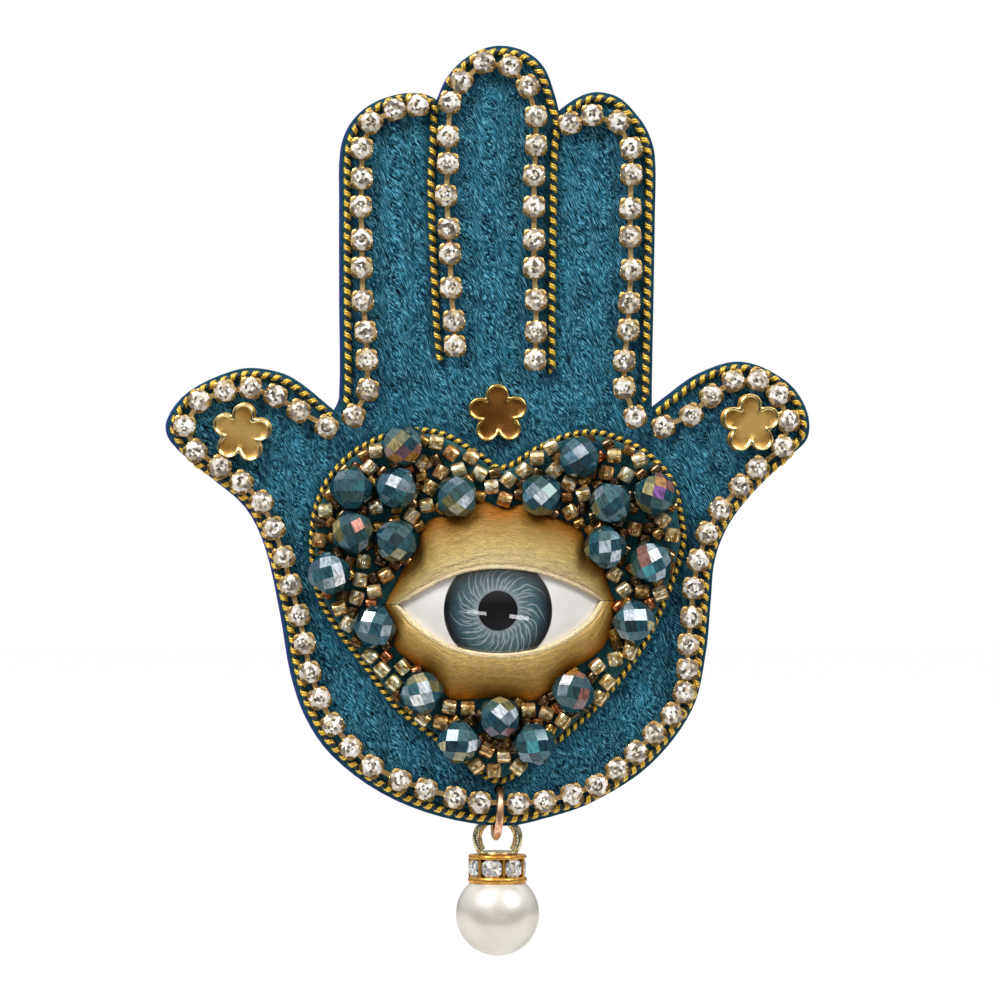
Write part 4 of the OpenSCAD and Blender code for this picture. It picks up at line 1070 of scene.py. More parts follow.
@dataclass
class CupChain:
    """Chain of square prong cups, each with a round cut stone, linked at their feet."""

    name: str
    stones_px: Sequence[tuple[float, float]]
    seed: int
    cup_w: float = 2.06
    rise: float = 0.82
    floor: float = 0.2
    foot_d: float = 0.8
    stone_d: float = 2.0
    girdle: float = 0.4686
    crown: float = 0.38
    link_w: float = 0.46
    wall: float = 0.1
    claw_rise: tuple[float, float] = (0.12, 0.1)
    claw_lean: float = 0.17
    hole_w: float = 0.95
    # Painted reflections on the stones' facets: white and dark on the table, paler on the crown, gold-brown at the
    # girdle
    table_reflection_tones: tuple[str, ...] = ("#fffdf6", "#857c70", "#e2dacc", "#554e46", "#ffffff", "#a89f8e", "#dacbb0",
                                    "#6d6458")
    crown_reflection_tones: tuple[str, ...] = ("#eee8de", "#9a8f80", "#cbbda4", "#fcf8f0", "#776e64", "#c0aa80", "#dcd5ca")
    rim_reflection_tones: tuple[str, ...] = ("#a58f68", "#d2bb8a", "#8b7356", "#ece0c8", "#c0a474")

    def cup(self) -> bpy.types.Mesh:
        """Tapered bowl on a foot, with four claws bent over the stone."""
        bm = bmesh.new()
        bmesh.ops.create_cone(bm, cap_ends=True, segments=10, radius1=self.foot_d / 2, radius2=self.foot_d * 0.42,
                              depth=self.rise, matrix=Matrix.Translation((0, 0, self.rise / 2)))
        half = self.cup_w * 0.37
        corners = ((-half, -half), (half, -half), (half, half), (-half, half))
        base = [bm.verts.new((x, y, self.rise)) for x, y in corners]
        bm.faces.new(base)
        bmesh.ops.bevel(bm, geom=base, offset=half * 0.5, segments=2, profile=0.5, material=-1, affect="VERTICES")
        floor = max(bm.faces, key=lambda f: f.calc_area() if abs(f.calc_center_median().z - self.rise) < 1e-6 else 0)
        top = pull(bm, [floor], (0, 0, self.girdle * 0.95), widen=self.cup_w / 2 / half)
        ring = bmesh.ops.inset_individual(bm, faces=top, thickness=self.wall)["faces"]
        pull(bm, top, (0, 0, self.floor - self.girdle), widen=self.hole_w)
        middles = [(f, f.calc_center_median()) for f in ring]
        for sx, sy in ((-1, -1), (-1, 1), (1, -1), (1, 1)):
            claw = [f for f, m in middles if abs(abs(m.x) - abs(m.y)) < 0.35 and m.x * sx > 0 and m.y * sy > 0]
            claw = pull(bm, claw, (0, 0, self.claw_rise[0]), widen=0.85)
            pull(bm, claw, (-self.claw_lean * sx, -self.claw_lean * sy, self.claw_rise[1]), widen=0.75)
        return saved(bm)

    def stone(self) -> bpy.types.Mesh:
        """Round stone: seat, girdle, crown facets and table."""
        r, g = self.stone_d / 2, self.rise + self.girdle
        rows = ((8, r * 0.7, self.rise + self.floor, 0), (16, r, g - 0.03, 0.5), (16, r, g + 0.03, 0.5),
                (8, r * 0.82, g + self.crown * 0.55, 0.5), (8, r * 0.56, g + self.crown, 0))
        bm = hull((radius * math.cos(a), radius * math.sin(a), z) for count, radius, z, shift in rows
                  for a in (math.tau * (k + shift) / count for k in range(count)))
        table = max(bm.faces, key=lambda f: f.calc_center_median().z)
        bmesh.ops.inset_individual(bm, faces=[table], thickness=r * 0.22)
        bmesh.ops.poke(bm, faces=[table])
        return saved(bm)

    def build(self, metal: Material, bar: Material, glass: Material) -> None:
        """Makes the cups and links as one piece and the stones as another.

        Args:
            metal: Finish of the cups.
            bar: Finish of the links.
            glass: Finish of the stones.
        """
        front = level_of("velvet_face")
        run = at(self.stones_px)
        cup, stone = self.cup(), self.stone()
        rng = np.random.default_rng(self.seed)
        chain, stones = Piece(self.name + "_chain_cups"), Piece(self.name + "_cut_stones")
        for i, p in enumerate(run):
            way = run[min(i + 1, len(run) - 1)] - run[max(i - 1, 0)]
            place = Matrix.Translation((*p, front)) @ turned(math.atan2(way[1], way[0]))
            chain.add_shape(cup, place)
            for face in stones.add_shape(stone, place @ turned(rng.uniform(0, math.tau))):
                # Each facet gets a painted reflection, chosen by its distance from the stone's middle
                away = (face.calc_center_median().to_2d() - Vector(p)).length / (self.stone_d / 2)
                tones = self.table_reflection_tones if away < 0.5 else self.crown_reflection_tones if away < 0.82 else self.rim_reflection_tones
                stones.tint([face], any_of(tones, rng))
            if i:
                self.link(chain, run[i - 1], p, front)
        chain.hang([metal, bar], "chain_metal", self.name + "_chain", crease=40)
        stones.hang([glass], "chain_stone", self.name + "_stones", crease=1)

    def link(self, piece: Piece, a: Points, b: Points, front: float) -> None:
        """Flat bar between two feet."""
        way = b - a
        place = (Matrix.Translation((*(a + b) / 2, front + self.rise / 2 + self.floor / 4))
                 @ turned(math.atan2(way[1], way[0]))
                 @ Matrix.Diagonal((np.linalg.norm(way), self.link_w, self.floor / 2, 1)))
        corners = bmesh.ops.create_cube(piece.bm, size=1, matrix=place)["verts"]
        for face in {f for v in corners for f in v.link_faces}:
            face.material_index = 1


def beads_of(node: str) -> list[tuple[Vector, Vector]]:
    """Middle and thread of every bead of a CAD node, on the bench, in mm."""
    bm = bmesh.new()
    bm.from_mesh(frame["nodes"][node].data)
    bmesh.ops.transform(bm, matrix=BENCH_TO_ROW.inverted(), verts=bm.verts)
    bmesh.ops.remove_doubles(bm, verts=bm.verts, dist=1e-3)
    seen: set[BMVert] = set()
    found = []
    for start in bm.verts:
        if start in seen:
            continue
        island, queue = [], [start]
        seen.add(start)
        while queue:
            vert = queue.pop()
            island.append(vert.co.copy())
            fresh = [v for v in (edge.other_vert(vert) for edge in vert.link_edges) if v not in seen]
            seen.update(fresh)
            queue.extend(fresh)
        p = np.array(island)
        middle = (p.min(axis=0) + p.max(axis=0)) / 2
        flat = p[:, :2] - middle[:2]
        values, ways = np.linalg.eigh(flat.T @ flat)
        found.append((Vector(middle), Vector((*ways[:, int(np.argmax(values))], 0))))
    bm.free()
    return found


def bead_place(middle: Vector, thread: Vector, roll: float) -> Matrix:
    """Place of a bead drawn round the x axis."""
    return Matrix.Translation(middle) @ turned(math.atan2(thread.y, thread.x)) @ turned(roll, "X")


# Painted reflections on the facets of the crystals, and where they are: bead by bead, right of and above its middle, in
# mm
FLASH_TONES = {
    "white": "#ffffff", "pale": "#d2d8e2", "grey": "#a9b6be", "slate": "#7a8a92", "blue": "#6a90a4",
    "dark": "#22343c", "teal": "#2e646c", "cyan": "#4fa0a8", "olive": "#6c6a48", "straw": "#a89c6a",
    "cream": "#e2cf9a", "amber": "#b07a38", "rose": "#8c625a", "pink": "#f0a090", "plum": "#6a4a58",
    "violet": "#8a5aa0",
}
# A flash of one of these tones spills a dimmer painted reflection onto the facet beside it
NEXT_TONES = {"white": "grey", "pale": "slate", "straw": "olive", "amber": "rose"}
FLASHES = {
    1: ((-0.3, 1.0, "olive"), (1.3, 0, "slate"), (-1.0, 0.1, "straw"), (0, -0.4, "plum"),
        (0.9, -1.0, "amber"), (-1.0, -1.1, "amber")),
    2: ((-0.8, -0.4, "grey"), (-0.8, 0.9, "slate"), (0.5, 0.6, "teal"), (1.3, 0.3, "amber"), (0, -1.3, "teal")),
    3: ((0.1, 0.4, "pale"), (1.4, -0.4, "slate"), (-1.3, 0, "olive"), (0.2, -1.1, "teal"),
        (-0.7, -0.8, "teal"), (0.7, 1.6, "blue")),
    4: ((0.3, 0.4, "pink"), (-1.2, 0.2, "straw"), (-1.0, -0.7, "olive"), (0.6, -1.0, "slate"), (1.5, 0, "olive")),
    5: ((-1.1, -0.1, "cream"), (1.4, -0.2, "amber"), (-0.8, -1.1, "slate"), (0.4, -1.5, "straw"),
        (-1.1, 1.1, "slate"), (0.2, -0.3, "dark")),
    6: ((0.6, -0.5, "white"), (1.0, 0.6, "pale"), (0, 0.9, "grey"), (-1.4, 0.3, "slate"), (-0.6, -0.6, "dark")),
    7: ((0.2, -0.3, "pale"), (0, 1.4, "slate"), (-1.6, -0.4, "teal"), (-0.4, -1.2, "straw"), (0.8, -1.4, "olive")),
    8: ((0.3, -0.4, "pale"), (-1.0, -1.3, "straw"), (0, -1.8, "olive"), (-1.4, -0.2, "blue"), (1.4, -0.4, "blue")),
    9: ((0.2, 0.8, "grey"), (-0.9, -0.3, "blue"), (1.1, 0, "blue"), (0.2, -1.1, "dark")),
    10: ((0.6, 0.8, "slate"), (-1.0, 0.6, "slate"), (-0.2, 0.5, "teal"), (-1.4, -0.6, "olive")),
    11: ((-1.1, 0.4, "straw"), (-1.3, -0.7, "straw"), (0.3, 1.1, "amber"), (1.2, 0.3, "rose"),
        (-0.7, 1.3, "grey"), (0.4, -1.5, "straw"), (0.5, -0.4, "violet"), (-0.4, -0.5, "dark")),
    12: ((0, 0.3, "grey"), (1.0, -0.4, "pale"), (1.3, 0.7, "slate"), (-1.4, -0.4, "olive"), (0.6, -1.1, "blue")),
    13: ((0.3, 0.6, "white"), (-0.7, 0.9, "rose"), (-0.8, 0.3, "rose"), (1.4, 0, "slate"),
        (0.9, -1.1, "grey"), (-0.3, -0.8, "cyan"), (-1.4, -0.9, "olive")),
    14: ((-0.3, 0.6, "pale"), (0.8, 0, "grey"), (0.9, 1.1, "straw"), (0.6, -1.1, "blue"), (-0.9, -0.5, "dark")),
    15: ((-0.5, 0.6, "pale"), (0.8, 0.6, "grey"), (1.4, -0.2, "straw"), (-1.1, -1.0, "grey"),
        (0.6, -1.1, "olive"), (0, -0.1, "dark")),
    16: ((-0.7, -0.4, "white"), (0.2, 0.7, "pale"), (1.0, -0.5, "grey"), (-0.9, 0.8, "slate"),
        (0.2, 1.7, "straw"), (-1.6, -0.2, "slate"), (1.4, 0.6, "olive")),
    17: ((-0.2, 0.8, "white"), (0.9, 0.8, "grey"), (1.0, -0.4, "rose"), (-1.0, -0.2, "slate"),
        (0.5, -1.1, "rose"), (-0.2, 1.7, "amber")),
    18: ((-0.5, 0.7, "pale"), (0.4, 0.2, "slate"), (1.2, 0.6, "grey"), (0.4, 1.5, "straw"),
        (-0.7, -1.0, "plum"), (0.4, -1.4, "rose"), (-1.3, -0.2, "slate")),
    19: ((0.8, -0.2, "pale"), (-0.7, 0.9, "blue"), (-0.4, -0.4, "dark"), (-1.3, -0.4, "straw"),
        (-0.2, -1.4, "straw"), (0.9, 0.7, "teal")),
    20: ((0, -0.3, "cyan"), (1.1, -0.8, "slate"), (-0.6, 0.4, "teal"), (0.4, -1.1, "dark"), (-0.8, -1.3, "slate")),
}


@dataclass
class CrystalBeads:
    """Faceted crystal beads of the heart: dark teal glass with a film; its grey, gold and rose flashes are painted
    reflections, and its side facets carry painted shade.
    """

    d: float = 4.0
    length: float = 3.5
    bore: float = 0.8
    bore_depth: float = 0.8
    fold: int = 8
    rows: tuple[tuple[float, float, float], ...] = (
        (-1, 0.578, 0), (-0.85, 0.73, 0.5), (-0.46, 0.924, 0), (0, 1, 0.5), (0.46, 0.924, 0), (0.85, 0.73, 0.5),
        (1, 0.578, 0))
    # Front facets take the glass's own teal, varied facet by facet as painted reflection; facets turned away take the
    # darker rim tones, painted shade
    body: tuple[str, ...] = ("#264c57", "#2f5964", "#20424d", "#38636c", "#28505b", "#2f4d4e", "#3f5c5e", "#234956")
    rim: tuple[str, ...] = ("#12303a", "#1b404c", "#24464c", "#0e2832", "#2c4a44")

    def shape(self) -> bpy.types.Mesh:
        """Bead with eight rhombs round its girdle and two rows of kites to each end."""
        r, half = self.d / 2, self.length / 2
        bm = hull((half * share, r * radius * math.cos(a), r * radius * math.sin(a))
                  for share, radius, shift in self.rows
                  for a in (math.tau * (k + shift) / self.fold for k in range(self.fold)))
        ends = [f for f in bm.faces if abs(f.normal.x) > 0.99]
        bmesh.ops.inset_individual(bm, faces=ends, thickness=r * 0.53 - self.bore / 2)
        for end in ends:
            pull(bm, [end], (math.copysign(self.bore_depth, -end.calc_center_median().x), 0, 0))
        return saved(bm)

    def build(self) -> None:
        """Makes each bead in its own place."""
        glass = CutGlass("film_coated_crystal_painted_flashes", gloss=0.04, film_nm=200, clear=0.12, coat=0.8, swirl=0.45).dress()
        shape = self.shape()
        for number, flashes in FLASHES.items():
            rng = np.random.default_rng(100 + number)
            node = f"crystal_bead_{number}"
            middle, thread = beads_of(node)[0]
            piece = Piece(f"{node}_cut")
            faces = piece.add_shape(shape, bead_place(middle, thread, rng.uniform(0, math.tau)))
            # Facets turned away from the front get darker tones: painted shade
            for face in faces:
                piece.tint([face], any_of(self.body if face.normal.z > 0.5 else self.rim, rng))
            front = [f for f in faces if f.normal.z > 0.15]
            # Each flash is a painted reflection on the front facet nearest its spot
            for right, up, tone in flashes:
                spot = middle + Vector((right, up, 0))
                face = min(front, key=lambda f: (f.calc_center_median() - spot).to_2d().length)
                piece.tint([face], FLASH_TONES[tone])
                front.remove(face)
                if tone in NEXT_TONES:
                    beside = min(front, key=lambda f: (f.calc_center_median() - face.calc_center_median()).length)
                    piece.tint([beside], FLASH_TONES[NEXT_TONES[tone]])
            piece.hang([glass], "teal_crystal", node, crease=1)


@dataclass
class SeedBeads:
    """Short lined glass tubes, fire-polished at their ends."""

    d: float = 1.45
    length: float = 1.4
    bore: float = 0.6
    tints: tuple[str, ...] = ("#ffffff", "#fff8e6", "#fdf2d2", "#f4dcae", "#f0f2da", "#fff4dc", "#e4bc86")
    ambers: tuple[str, ...] = ("#a07a30", "#7a561c", "#c09a48", "#6a5420", "#b86e30", "#5a461a")
    filler_d: float = 1.15
    crystal_r: float = 1.85
    tries: int = 9000
    nodes: tuple[str, str] = ("left_seed_beads", "right_seed_beads")

    def shape(self) -> bpy.types.Mesh:
        """Tube spun from its section."""
        bm = bmesh.new()
        r, half, hole = self.d / 2, self.length / 2, self.bore / 2
        section = ((-half * 0.9, hole), (-half, r * 0.66), (-half * 0.86, r * 0.93), (-half * 0.5, r),
                   (half * 0.5, r), (half * 0.86, r * 0.93), (half, r * 0.66), (half * 0.9, hole))
        verts = [bm.verts.new((x, y, 0)) for x, y in section]
        edges = [bm.edges.new(pair) for pair in zip(verts, verts[1:] + verts[:1])]
        bmesh.ops.spin(bm, geom=verts + edges, cent=(0, 0, 0), axis=(1, 0, 0), angle=math.tau, steps=12, use_merge=True)
        return saved(bm)

    def build(self) -> None:
        """Lays the seed beads of both halves of the heart."""
        glass = LinedGlass().dress()
        shape = self.shape()
        for side, node in enumerate(self.nodes):
            rng = np.random.default_rng(50 + side)
            piece = Piece(node + "_lined")
            for middle, thread in beads_of(node):
                faces = piece.add_shape(shape, bead_place(middle, thread, rng.uniform(0, 1)))
                piece.tint(faces, any_of(self.tints, rng))
            for middle in self.fillers(side, rng):
                way = Vector((rng.normal(), rng.normal(), 0))
                size = Matrix.Scale(self.filler_d / self.d, 4)
                faces = piece.add_shape(shape, bead_place(middle, way, rng.uniform(0, 1)) @ size)
                piece.tint(faces, any_of(self.ambers, rng))
            piece.hang([glass], "lined_glass", node, crease=50)

    def fillers(self, side: int, rng: Rng) -> list[Vector]:
        """Places where a small bead rests on the felt between the others.

        Args:
            side: 0 for the left half of the heart, 1 for the right one.
            rng: Where the tries come from.

        Returns:
            The beads' middles.
        """
        crystals = np.array([beads_of(f"crystal_bead_{number}")[0][0] for number in FLASHES])
        seeds = np.array([middle for node in self.nodes for middle, _ in beads_of(node)])
        heart, eye = CordTrim().heart_route(), Eye().outline(0)
        upper, lower = (smooth_run(at(px), 3) for px in (UPPER_EDGE_PX, LOWER_EDGE_PX))
        lids = np.vstack([upper, lower[::-1]])
        low, high = heart.min(axis=0), heart.max(axis=0)
        tries = rng.uniform(low, high, (self.tries, 2))
        tries = tries[(tries[:, 0] < at([(498, 0)])[0][0]) == (side == 0)]
        r = self.filler_d / 2
        z = level_of("heart_base") + r
        good = inside(tries, heart) & ~inside(tries, lids) & ~inside(tries, eye)
        good &= distance_to(tries, spaced(heart, 0.2, Ends.CLOSED)) > r
        good &= distance_to(tries, spaced(lids, 0.2, Ends.CLOSED)) > r * 0.6
        found: list[Vector] = []
        for x, y in tries[good]:
            spot = Vector((x, y, z))
            near = (np.linalg.norm(crystals - spot, axis=1).min() < self.crystal_r + r * 0.8
                    or np.linalg.norm(seeds - spot, axis=1).min() < self.d / 2 + r * 0.75
                    or any((f - spot).length < r * 1.7 for f in found))
            if not near:
                found.append(spot)
        LOG.info("%d small beads between the others", len(found))
        return found


@dataclass
class FlowerBead:
    """Cast flower bead: five petals with a flat face inside a rolled rim, over a waisted side."""

    node: str
    place_px: tuple[float, float]
    turn: float
    tilt: float
    finish: FlowerGold
    d: float = 5.7
    t: float = 1.3
    petals: int = 5
    petal_share: float = 0.385
    notch_share: float = 0.62
    points: int = 90
    levels: tuple[tuple[float, float], ...] = (
        (0.25, 0.0), (0.08, 0.03), (0.0, 0.12), (0.02, 0.24), (0.16, 0.33), (0.24, 0.45), (0.24, 0.6), (0.14, 0.72),
        (0.02, 0.8), (0.0, 0.88), (0.05, 0.96), (0.14, 1.0), (0.24, 0.97), (0.31, 0.9), (0.36, 0.87))

    def outline(self, inset: float) -> Points:
        """Outline of the petals, moved in by a distance."""
        r = self.d / 2
        petal, centre = r * self.petal_share - inset, r * (1 - self.petal_share)
        a = np.arange(self.points) / self.points * math.tau
        lobe = (a + math.pi / self.petals) % (math.tau / self.petals) - math.pi / self.petals
        under = petal**2 - (centre * np.sin(lobe)) ** 2
        reach = np.where(under > 0, centre * np.cos(lobe) + np.sqrt(np.maximum(under, 0)), 0)
        reach = np.maximum(reach, r * self.notch_share - inset * 1.1)
        reach = (np.roll(reach, 1) + 2 * reach + np.roll(reach, -1)) / 4
        return np.column_stack([reach * np.cos(a), reach * np.sin(a)])

    def build(self) -> None:
        """Draws the bead from its back to its face."""
        piece = Piece(self.node + "_cast")
        rings = [np.column_stack([self.outline(inset), np.full(self.points, z * self.t)]) for inset, z in self.levels]
        skin = Skin(piece.bm, rings[0])
        piece.bm.faces.new(skin.verts[::-1])
        for ring in rings[1:]:
            skin.to(ring)
        face = piece.bm.faces.new(skin.verts)
        for inset in (0.35, 0.5):
            bmesh.ops.inset_region(piece.bm, faces=[face], thickness=inset, use_even_offset=True)
        level = piece.places()[:, 2] / self.t
        piece.mark("burnish", np.where((level < 0.87 + 1e-3) & (level > 0.86), 0.0, ease(level, 0.35, 0.6)))
        tilt = math.radians(self.tilt)
        seat = level_of("velvet_face") + 0.05 + self.d / 2 * math.sin(abs(tilt))
        place = (Matrix.Translation((*at([self.place_px])[0], seat)) @ turned(tilt * 0.8, "Y")
                 @ turned(max(-tilt, 0) * 0.6, "X") @ turned(math.radians(self.turn)))
        bmesh.ops.transform(piece.bm, matrix=place, verts=piece.bm.verts)
        piece.hang([self.finish.dress()], "antique_gold", self.node, crease=40)


@dataclass
class Eye:
    """Glass eye: a domed white body, a painted iris under clear glass, and two leather lids."""

    h: float = 4.2
    dome_r: float = 16.0
    centre_px: tuple[float, float] = (498.5, 608)
    iris_px: tuple[float, float] = (498, 610)
    iris_d: float = 10.0
    iris_t: float = 0.8
    glass_t: float = 0.1
    lid_t: float = 0.6
    lid_edge_t: float = 0.35
    lap: float = 0.6
    split: float = 0.6
    roll_w: float = 0.27
    roll_dent: float = 0.06
    dent_w: float = 0.09
    rim_r: float = 0.14
    fold_t: float = 0.06
    fold_w: float = 0.035
    step: float = 0.3
    sections: int = 150
    rows: int = 44

    def dome(self, flat: Points) -> Points:
        """Height of the dome over the heart."""
        away = np.linalg.norm(flat - at([self.centre_px])[0], axis=-1)
        return self.h - self.dome_r + np.sqrt(self.dome_r**2 - away**2)

    def edges(self) -> tuple[Points, Points, Points, Points]:
        """Rim and outer edge of the upper lid, then of the lower one."""
        drop = np.array([0, -self.split * MM_PX])
        runs = [smooth_run(at(px), 3) for px in (UPPER_RIM_PX, UPPER_EDGE_PX, LOWER_RIM_PX, LOWER_EDGE_PX)]
        return runs[0], runs[1], runs[2] + drop, runs[3] + drop

    def along(self, run: Points, count: int) -> Points:
        """Points at even shares of a run's steps."""
        marks = np.linspace(0, len(run) - 1, count)
        return np.column_stack([np.interp(marks, np.arange(len(run)), run[:, k]) for k in (0, 1)])

    def outline(self, lap: float) -> Points:
        """Edge of the eye under the lids, clockwise."""
        ur, ue, lr, le = (self.along(run, 60) for run in self.edges())
        return np.vstack([ur + unit(ue - ur) * lap, (lr + unit(le - lr) * lap)[::-1]])

    def domed(self, name: str, radius: float, low: float, cut: Cut) -> Piece:
        """Solid under the dome, inside the eye's edge, cut by a column at the iris.

        Args:
            name: Name of the piece.
            radius: Radius of the column.
            low: Where the column starts, over the heart.
            cut: Whether the column is cut away or kept.

        Returns:
            The solid.
        """
        heart = level_of("heart_base")
        piece = Piece(name)
        piece.bm = flat_sheet(self.outline(self.lap - 0.05), self.step)
        for vert, z in zip(piece.bm.verts, self.dome(piece.places()[:, :2])):
            vert.co.z = heart + z
        thicken(piece.bm, heart)
        piece.boolean(column(at([self.iris_px])[0], radius, heart + low, heart + self.h + 1, 128), cut)
        return piece

    def body(self) -> None:
        """White body with the well for the iris, and the clear dome over it."""
        top = float(self.dome(at([self.centre_px])[0] + (self.iris_d / 2, 0))) - self.glass_t
        white = self.domed("eye_porcelain", self.iris_d / 2 + 0.05, top - self.iris_t, Cut.AWAY)
        white.hang([Glaze("white_porcelain", "#eceae8", "#e4e1dd", gloss=0.2, coat=0.7).dress()], "eye_porcelain",
                   "eye_white", crease=30)
        glass = self.domed("eye_clear_dome", self.iris_d / 2, top, Cut.KEEP)
        low = level_of("heart_base") + top
        for face in glass.bm.faces:
            if face.calc_center_median().z < low + 0.01 or abs(face.normal.z) < 0.2:
                face.material_index = 1
        fused = ClearGlass("fused_clear_glass", bend=1.0, coat=0.0)
        glass.hang([ClearGlass().dress(), fused.dress()], "clear_glass", "eye_glass", crease=30)
        redress("iris_disc", Iris(self.iris_px, self.iris_d / 2).dress())
        redress("pupil_disc", Glaze("pupil_enamel", "#141416", "#1d1d20", gloss=0.12, coat=0.8).dress())

    def lid(self, side: str, rim: Points, edge: Points, roll: float, seed: int, leather: GildedLeather) -> None:
        """Leather lid from its outer edge over a soft dome to a rolled rim, and back underneath.

        Args:
            side: Upper or lower.
            rim: Its edge over the eye.
            edge: Its edge on the felt.
            roll: Distance of the dent behind its rolled rim.
            seed: What its folds are drawn from.
            leather: Its finish.
        """
        a, b = self.along(rim, self.sections), self.along(edge, self.sections)
        width, out = np.linalg.norm(b - a, axis=1), unit(b - a)
        low = self.dome(a) + 0.05
        top = low + self.lid_t
        far = np.r_[0, np.cumsum(np.linalg.norm(np.diff(a, axis=0), axis=1))]
        rng = np.random.default_rng(seed)
        folds = [(rng.uniform(0.35, 0.85), rng.uniform(0.2, 0.8), rng.uniform(0.1, 0.3)) for _ in range(7)]
        # Each row is a place, its height over the felt, its distance from the rim and how deep it is tucked in; that
        # depth darkens the leather towards its edge as painted shade, and where it is 0 the rim gets its painted
        # highlight.
        rows: list[tuple[Points, Any, Any, Any]] = [(b, 0, width, 1)]
        t = np.linspace(0, 1, self.sections)
        for s in np.linspace(0, 1, self.rows):
            z = self.lid_edge_t + (top - self.lid_edge_t) * np.sin(math.pi / 2 * s) ** 0.85
            for place, middle, reach in folds:
                across = (s - place - 0.05 * np.sin(6 * t)) / self.fold_w
                z = z - self.fold_t * np.exp(-across**2) * np.exp(-((t - middle) / reach) ** 2)
            back = width * (1 - s)
            z = z - self.roll_dent * np.exp(-((back - roll) / self.dent_w) ** 2)
            rows.append((b + (a - b) * s, z, back, (0.1 + 0.9 * (1 - s)) * ease(back, roll * 0.4, roll * 1.2)))
        for angle in map(math.radians, (20, 40, 60, 80, 100, 120, 150)):
            lift = (low + top) / 2 + (top - low) / 2 * math.cos(angle)
            rows.append((a - out * (self.rim_r * math.sin(angle)), lift, 0, 0))
        wall = a + out * np.minimum(self.lap, width * 0.6)[:, None]
        rows += [(a, low, 0, 0.8), (wall, low, 0, 0.8), (wall, 0, 0, 0.8)]
        table = np.array([np.column_stack([p, *(np.broadcast_to(v, len(p)) for v in rest)]) for p, *rest in rows])
        table[:, :, 2] += level_of("heart_base")
        # The vertices come section by section, and so do the marks.
        sections = table.transpose(1, 0, 2)
        piece = Piece(side + "_lid_leather")
        skin = Skin(piece.bm, sections[0, :, :3])
        piece.bm.faces.new(skin.verts)
        for section in sections[1:]:
            skin.to(section[:, :3])
        piece.bm.faces.new(skin.verts[::-1])
        piece.mark("across", sections[:, :, 3].ravel())
        piece.mark("depth", sections[:, :, 4].ravel())
        piece.mark("along", np.repeat(far, len(rows)))
        piece.hang([leather.dress()], "gilded_leather", side + "_eyelid", crease=60)

    def build(self) -> None:
        """Makes the eye and its lids; the lower lid has a wider roll along its rim."""
        self.body()
        ur, ue, lr, le = self.edges()
        self.lid("upper", ur, ue, self.roll_w, 3, GildedLeather("upper_lid_leather_gilded_leather"))
        self.lid("lower", lr, le, self.roll_w * 1.6, 4, GildedLeather(
            "lower_lid_leather_gilded_leather", light="#dab878", mid="#cca45a", deep="#be8e44", tuck="#c87e1e"))


@dataclass
class HeartBase:
    """Felt heart under the beads."""

    cord_r: float = 0.26
    seat: float = 0.05

    def build(self) -> None:
        """Cuts the felt with a softened edge."""
        route = smooth_run(at(HEART_PX), 4, Ends.CLOSED)
        outline = route + side_of(route, Ends.CLOSED) * (self.cord_r + self.seat)
        front = level_of("heart_base")
        piece = slab("heart_felt", outline, level_of("velvet_face"), front, 0.2, (front,))
        felt = Felt("heart_felt_dark", "#143a42", "#357078").dress()
        piece.hang([felt], "dark_felt", "heart_base", 35)


def spun(piece: Piece, section: Sequence[tuple[float, float]], steps: int, place: Matrix, angle: float = math.tau,
         ends: Ends = Ends.CLOSED) -> None:
    """Spins a section round Z and sets it in its place.

    Args:
        piece: The piece that it is added to.
        section: Radius and height of each corner.
        steps: Steps round.
        place: Where it goes.
        angle: How far round it goes.
        ends: Whether the section is closed; an open one starts and ends on the axis.
    """
    bm = piece.bm
    old = set(bm.verts)
    verts = [bm.verts.new((x, 0, z)) for x, z in section]
    after = verts[1:] + (verts[:1] if ends is Ends.CLOSED else [])
    geom: list[Any] = verts + [bm.edges.new(pair) for pair in zip(verts, after)]
    whole = angle == math.tau
    if not whole:
        geom.append(bm.faces.new(verts))
    bmesh.ops.spin(bm, geom=geom, cent=(0, 0, 0), axis=(0, 0, 1), angle=angle, steps=steps, use_merge=whole)
    bmesh.ops.remove_doubles(bm, verts=[v for v in bm.verts if v not in old], dist=1e-5)
    bmesh.ops.transform(bm, matrix=place, verts=[v for v in bm.verts if v not in old])


def round_section(radius: float, wire: float, corners: int = 16) -> list[tuple[float, float]]:
    """Round section of a wire at a radius."""
    return [(radius + wire / 2 * math.cos(a), wire / 2 * math.sin(a))
            for a in (math.tau * k / corners for k in range(corners))]


def rounded(radius: float, height: float, reach: float, rise: float, points: int) -> list[tuple[float, float]]:
    """Outer half of an oval section, from its foot to its top."""
    return [(radius + reach * math.cos(a), height + rise * math.sin(a))
            for a in np.linspace(-math.pi / 2, math.pi / 2, points)]


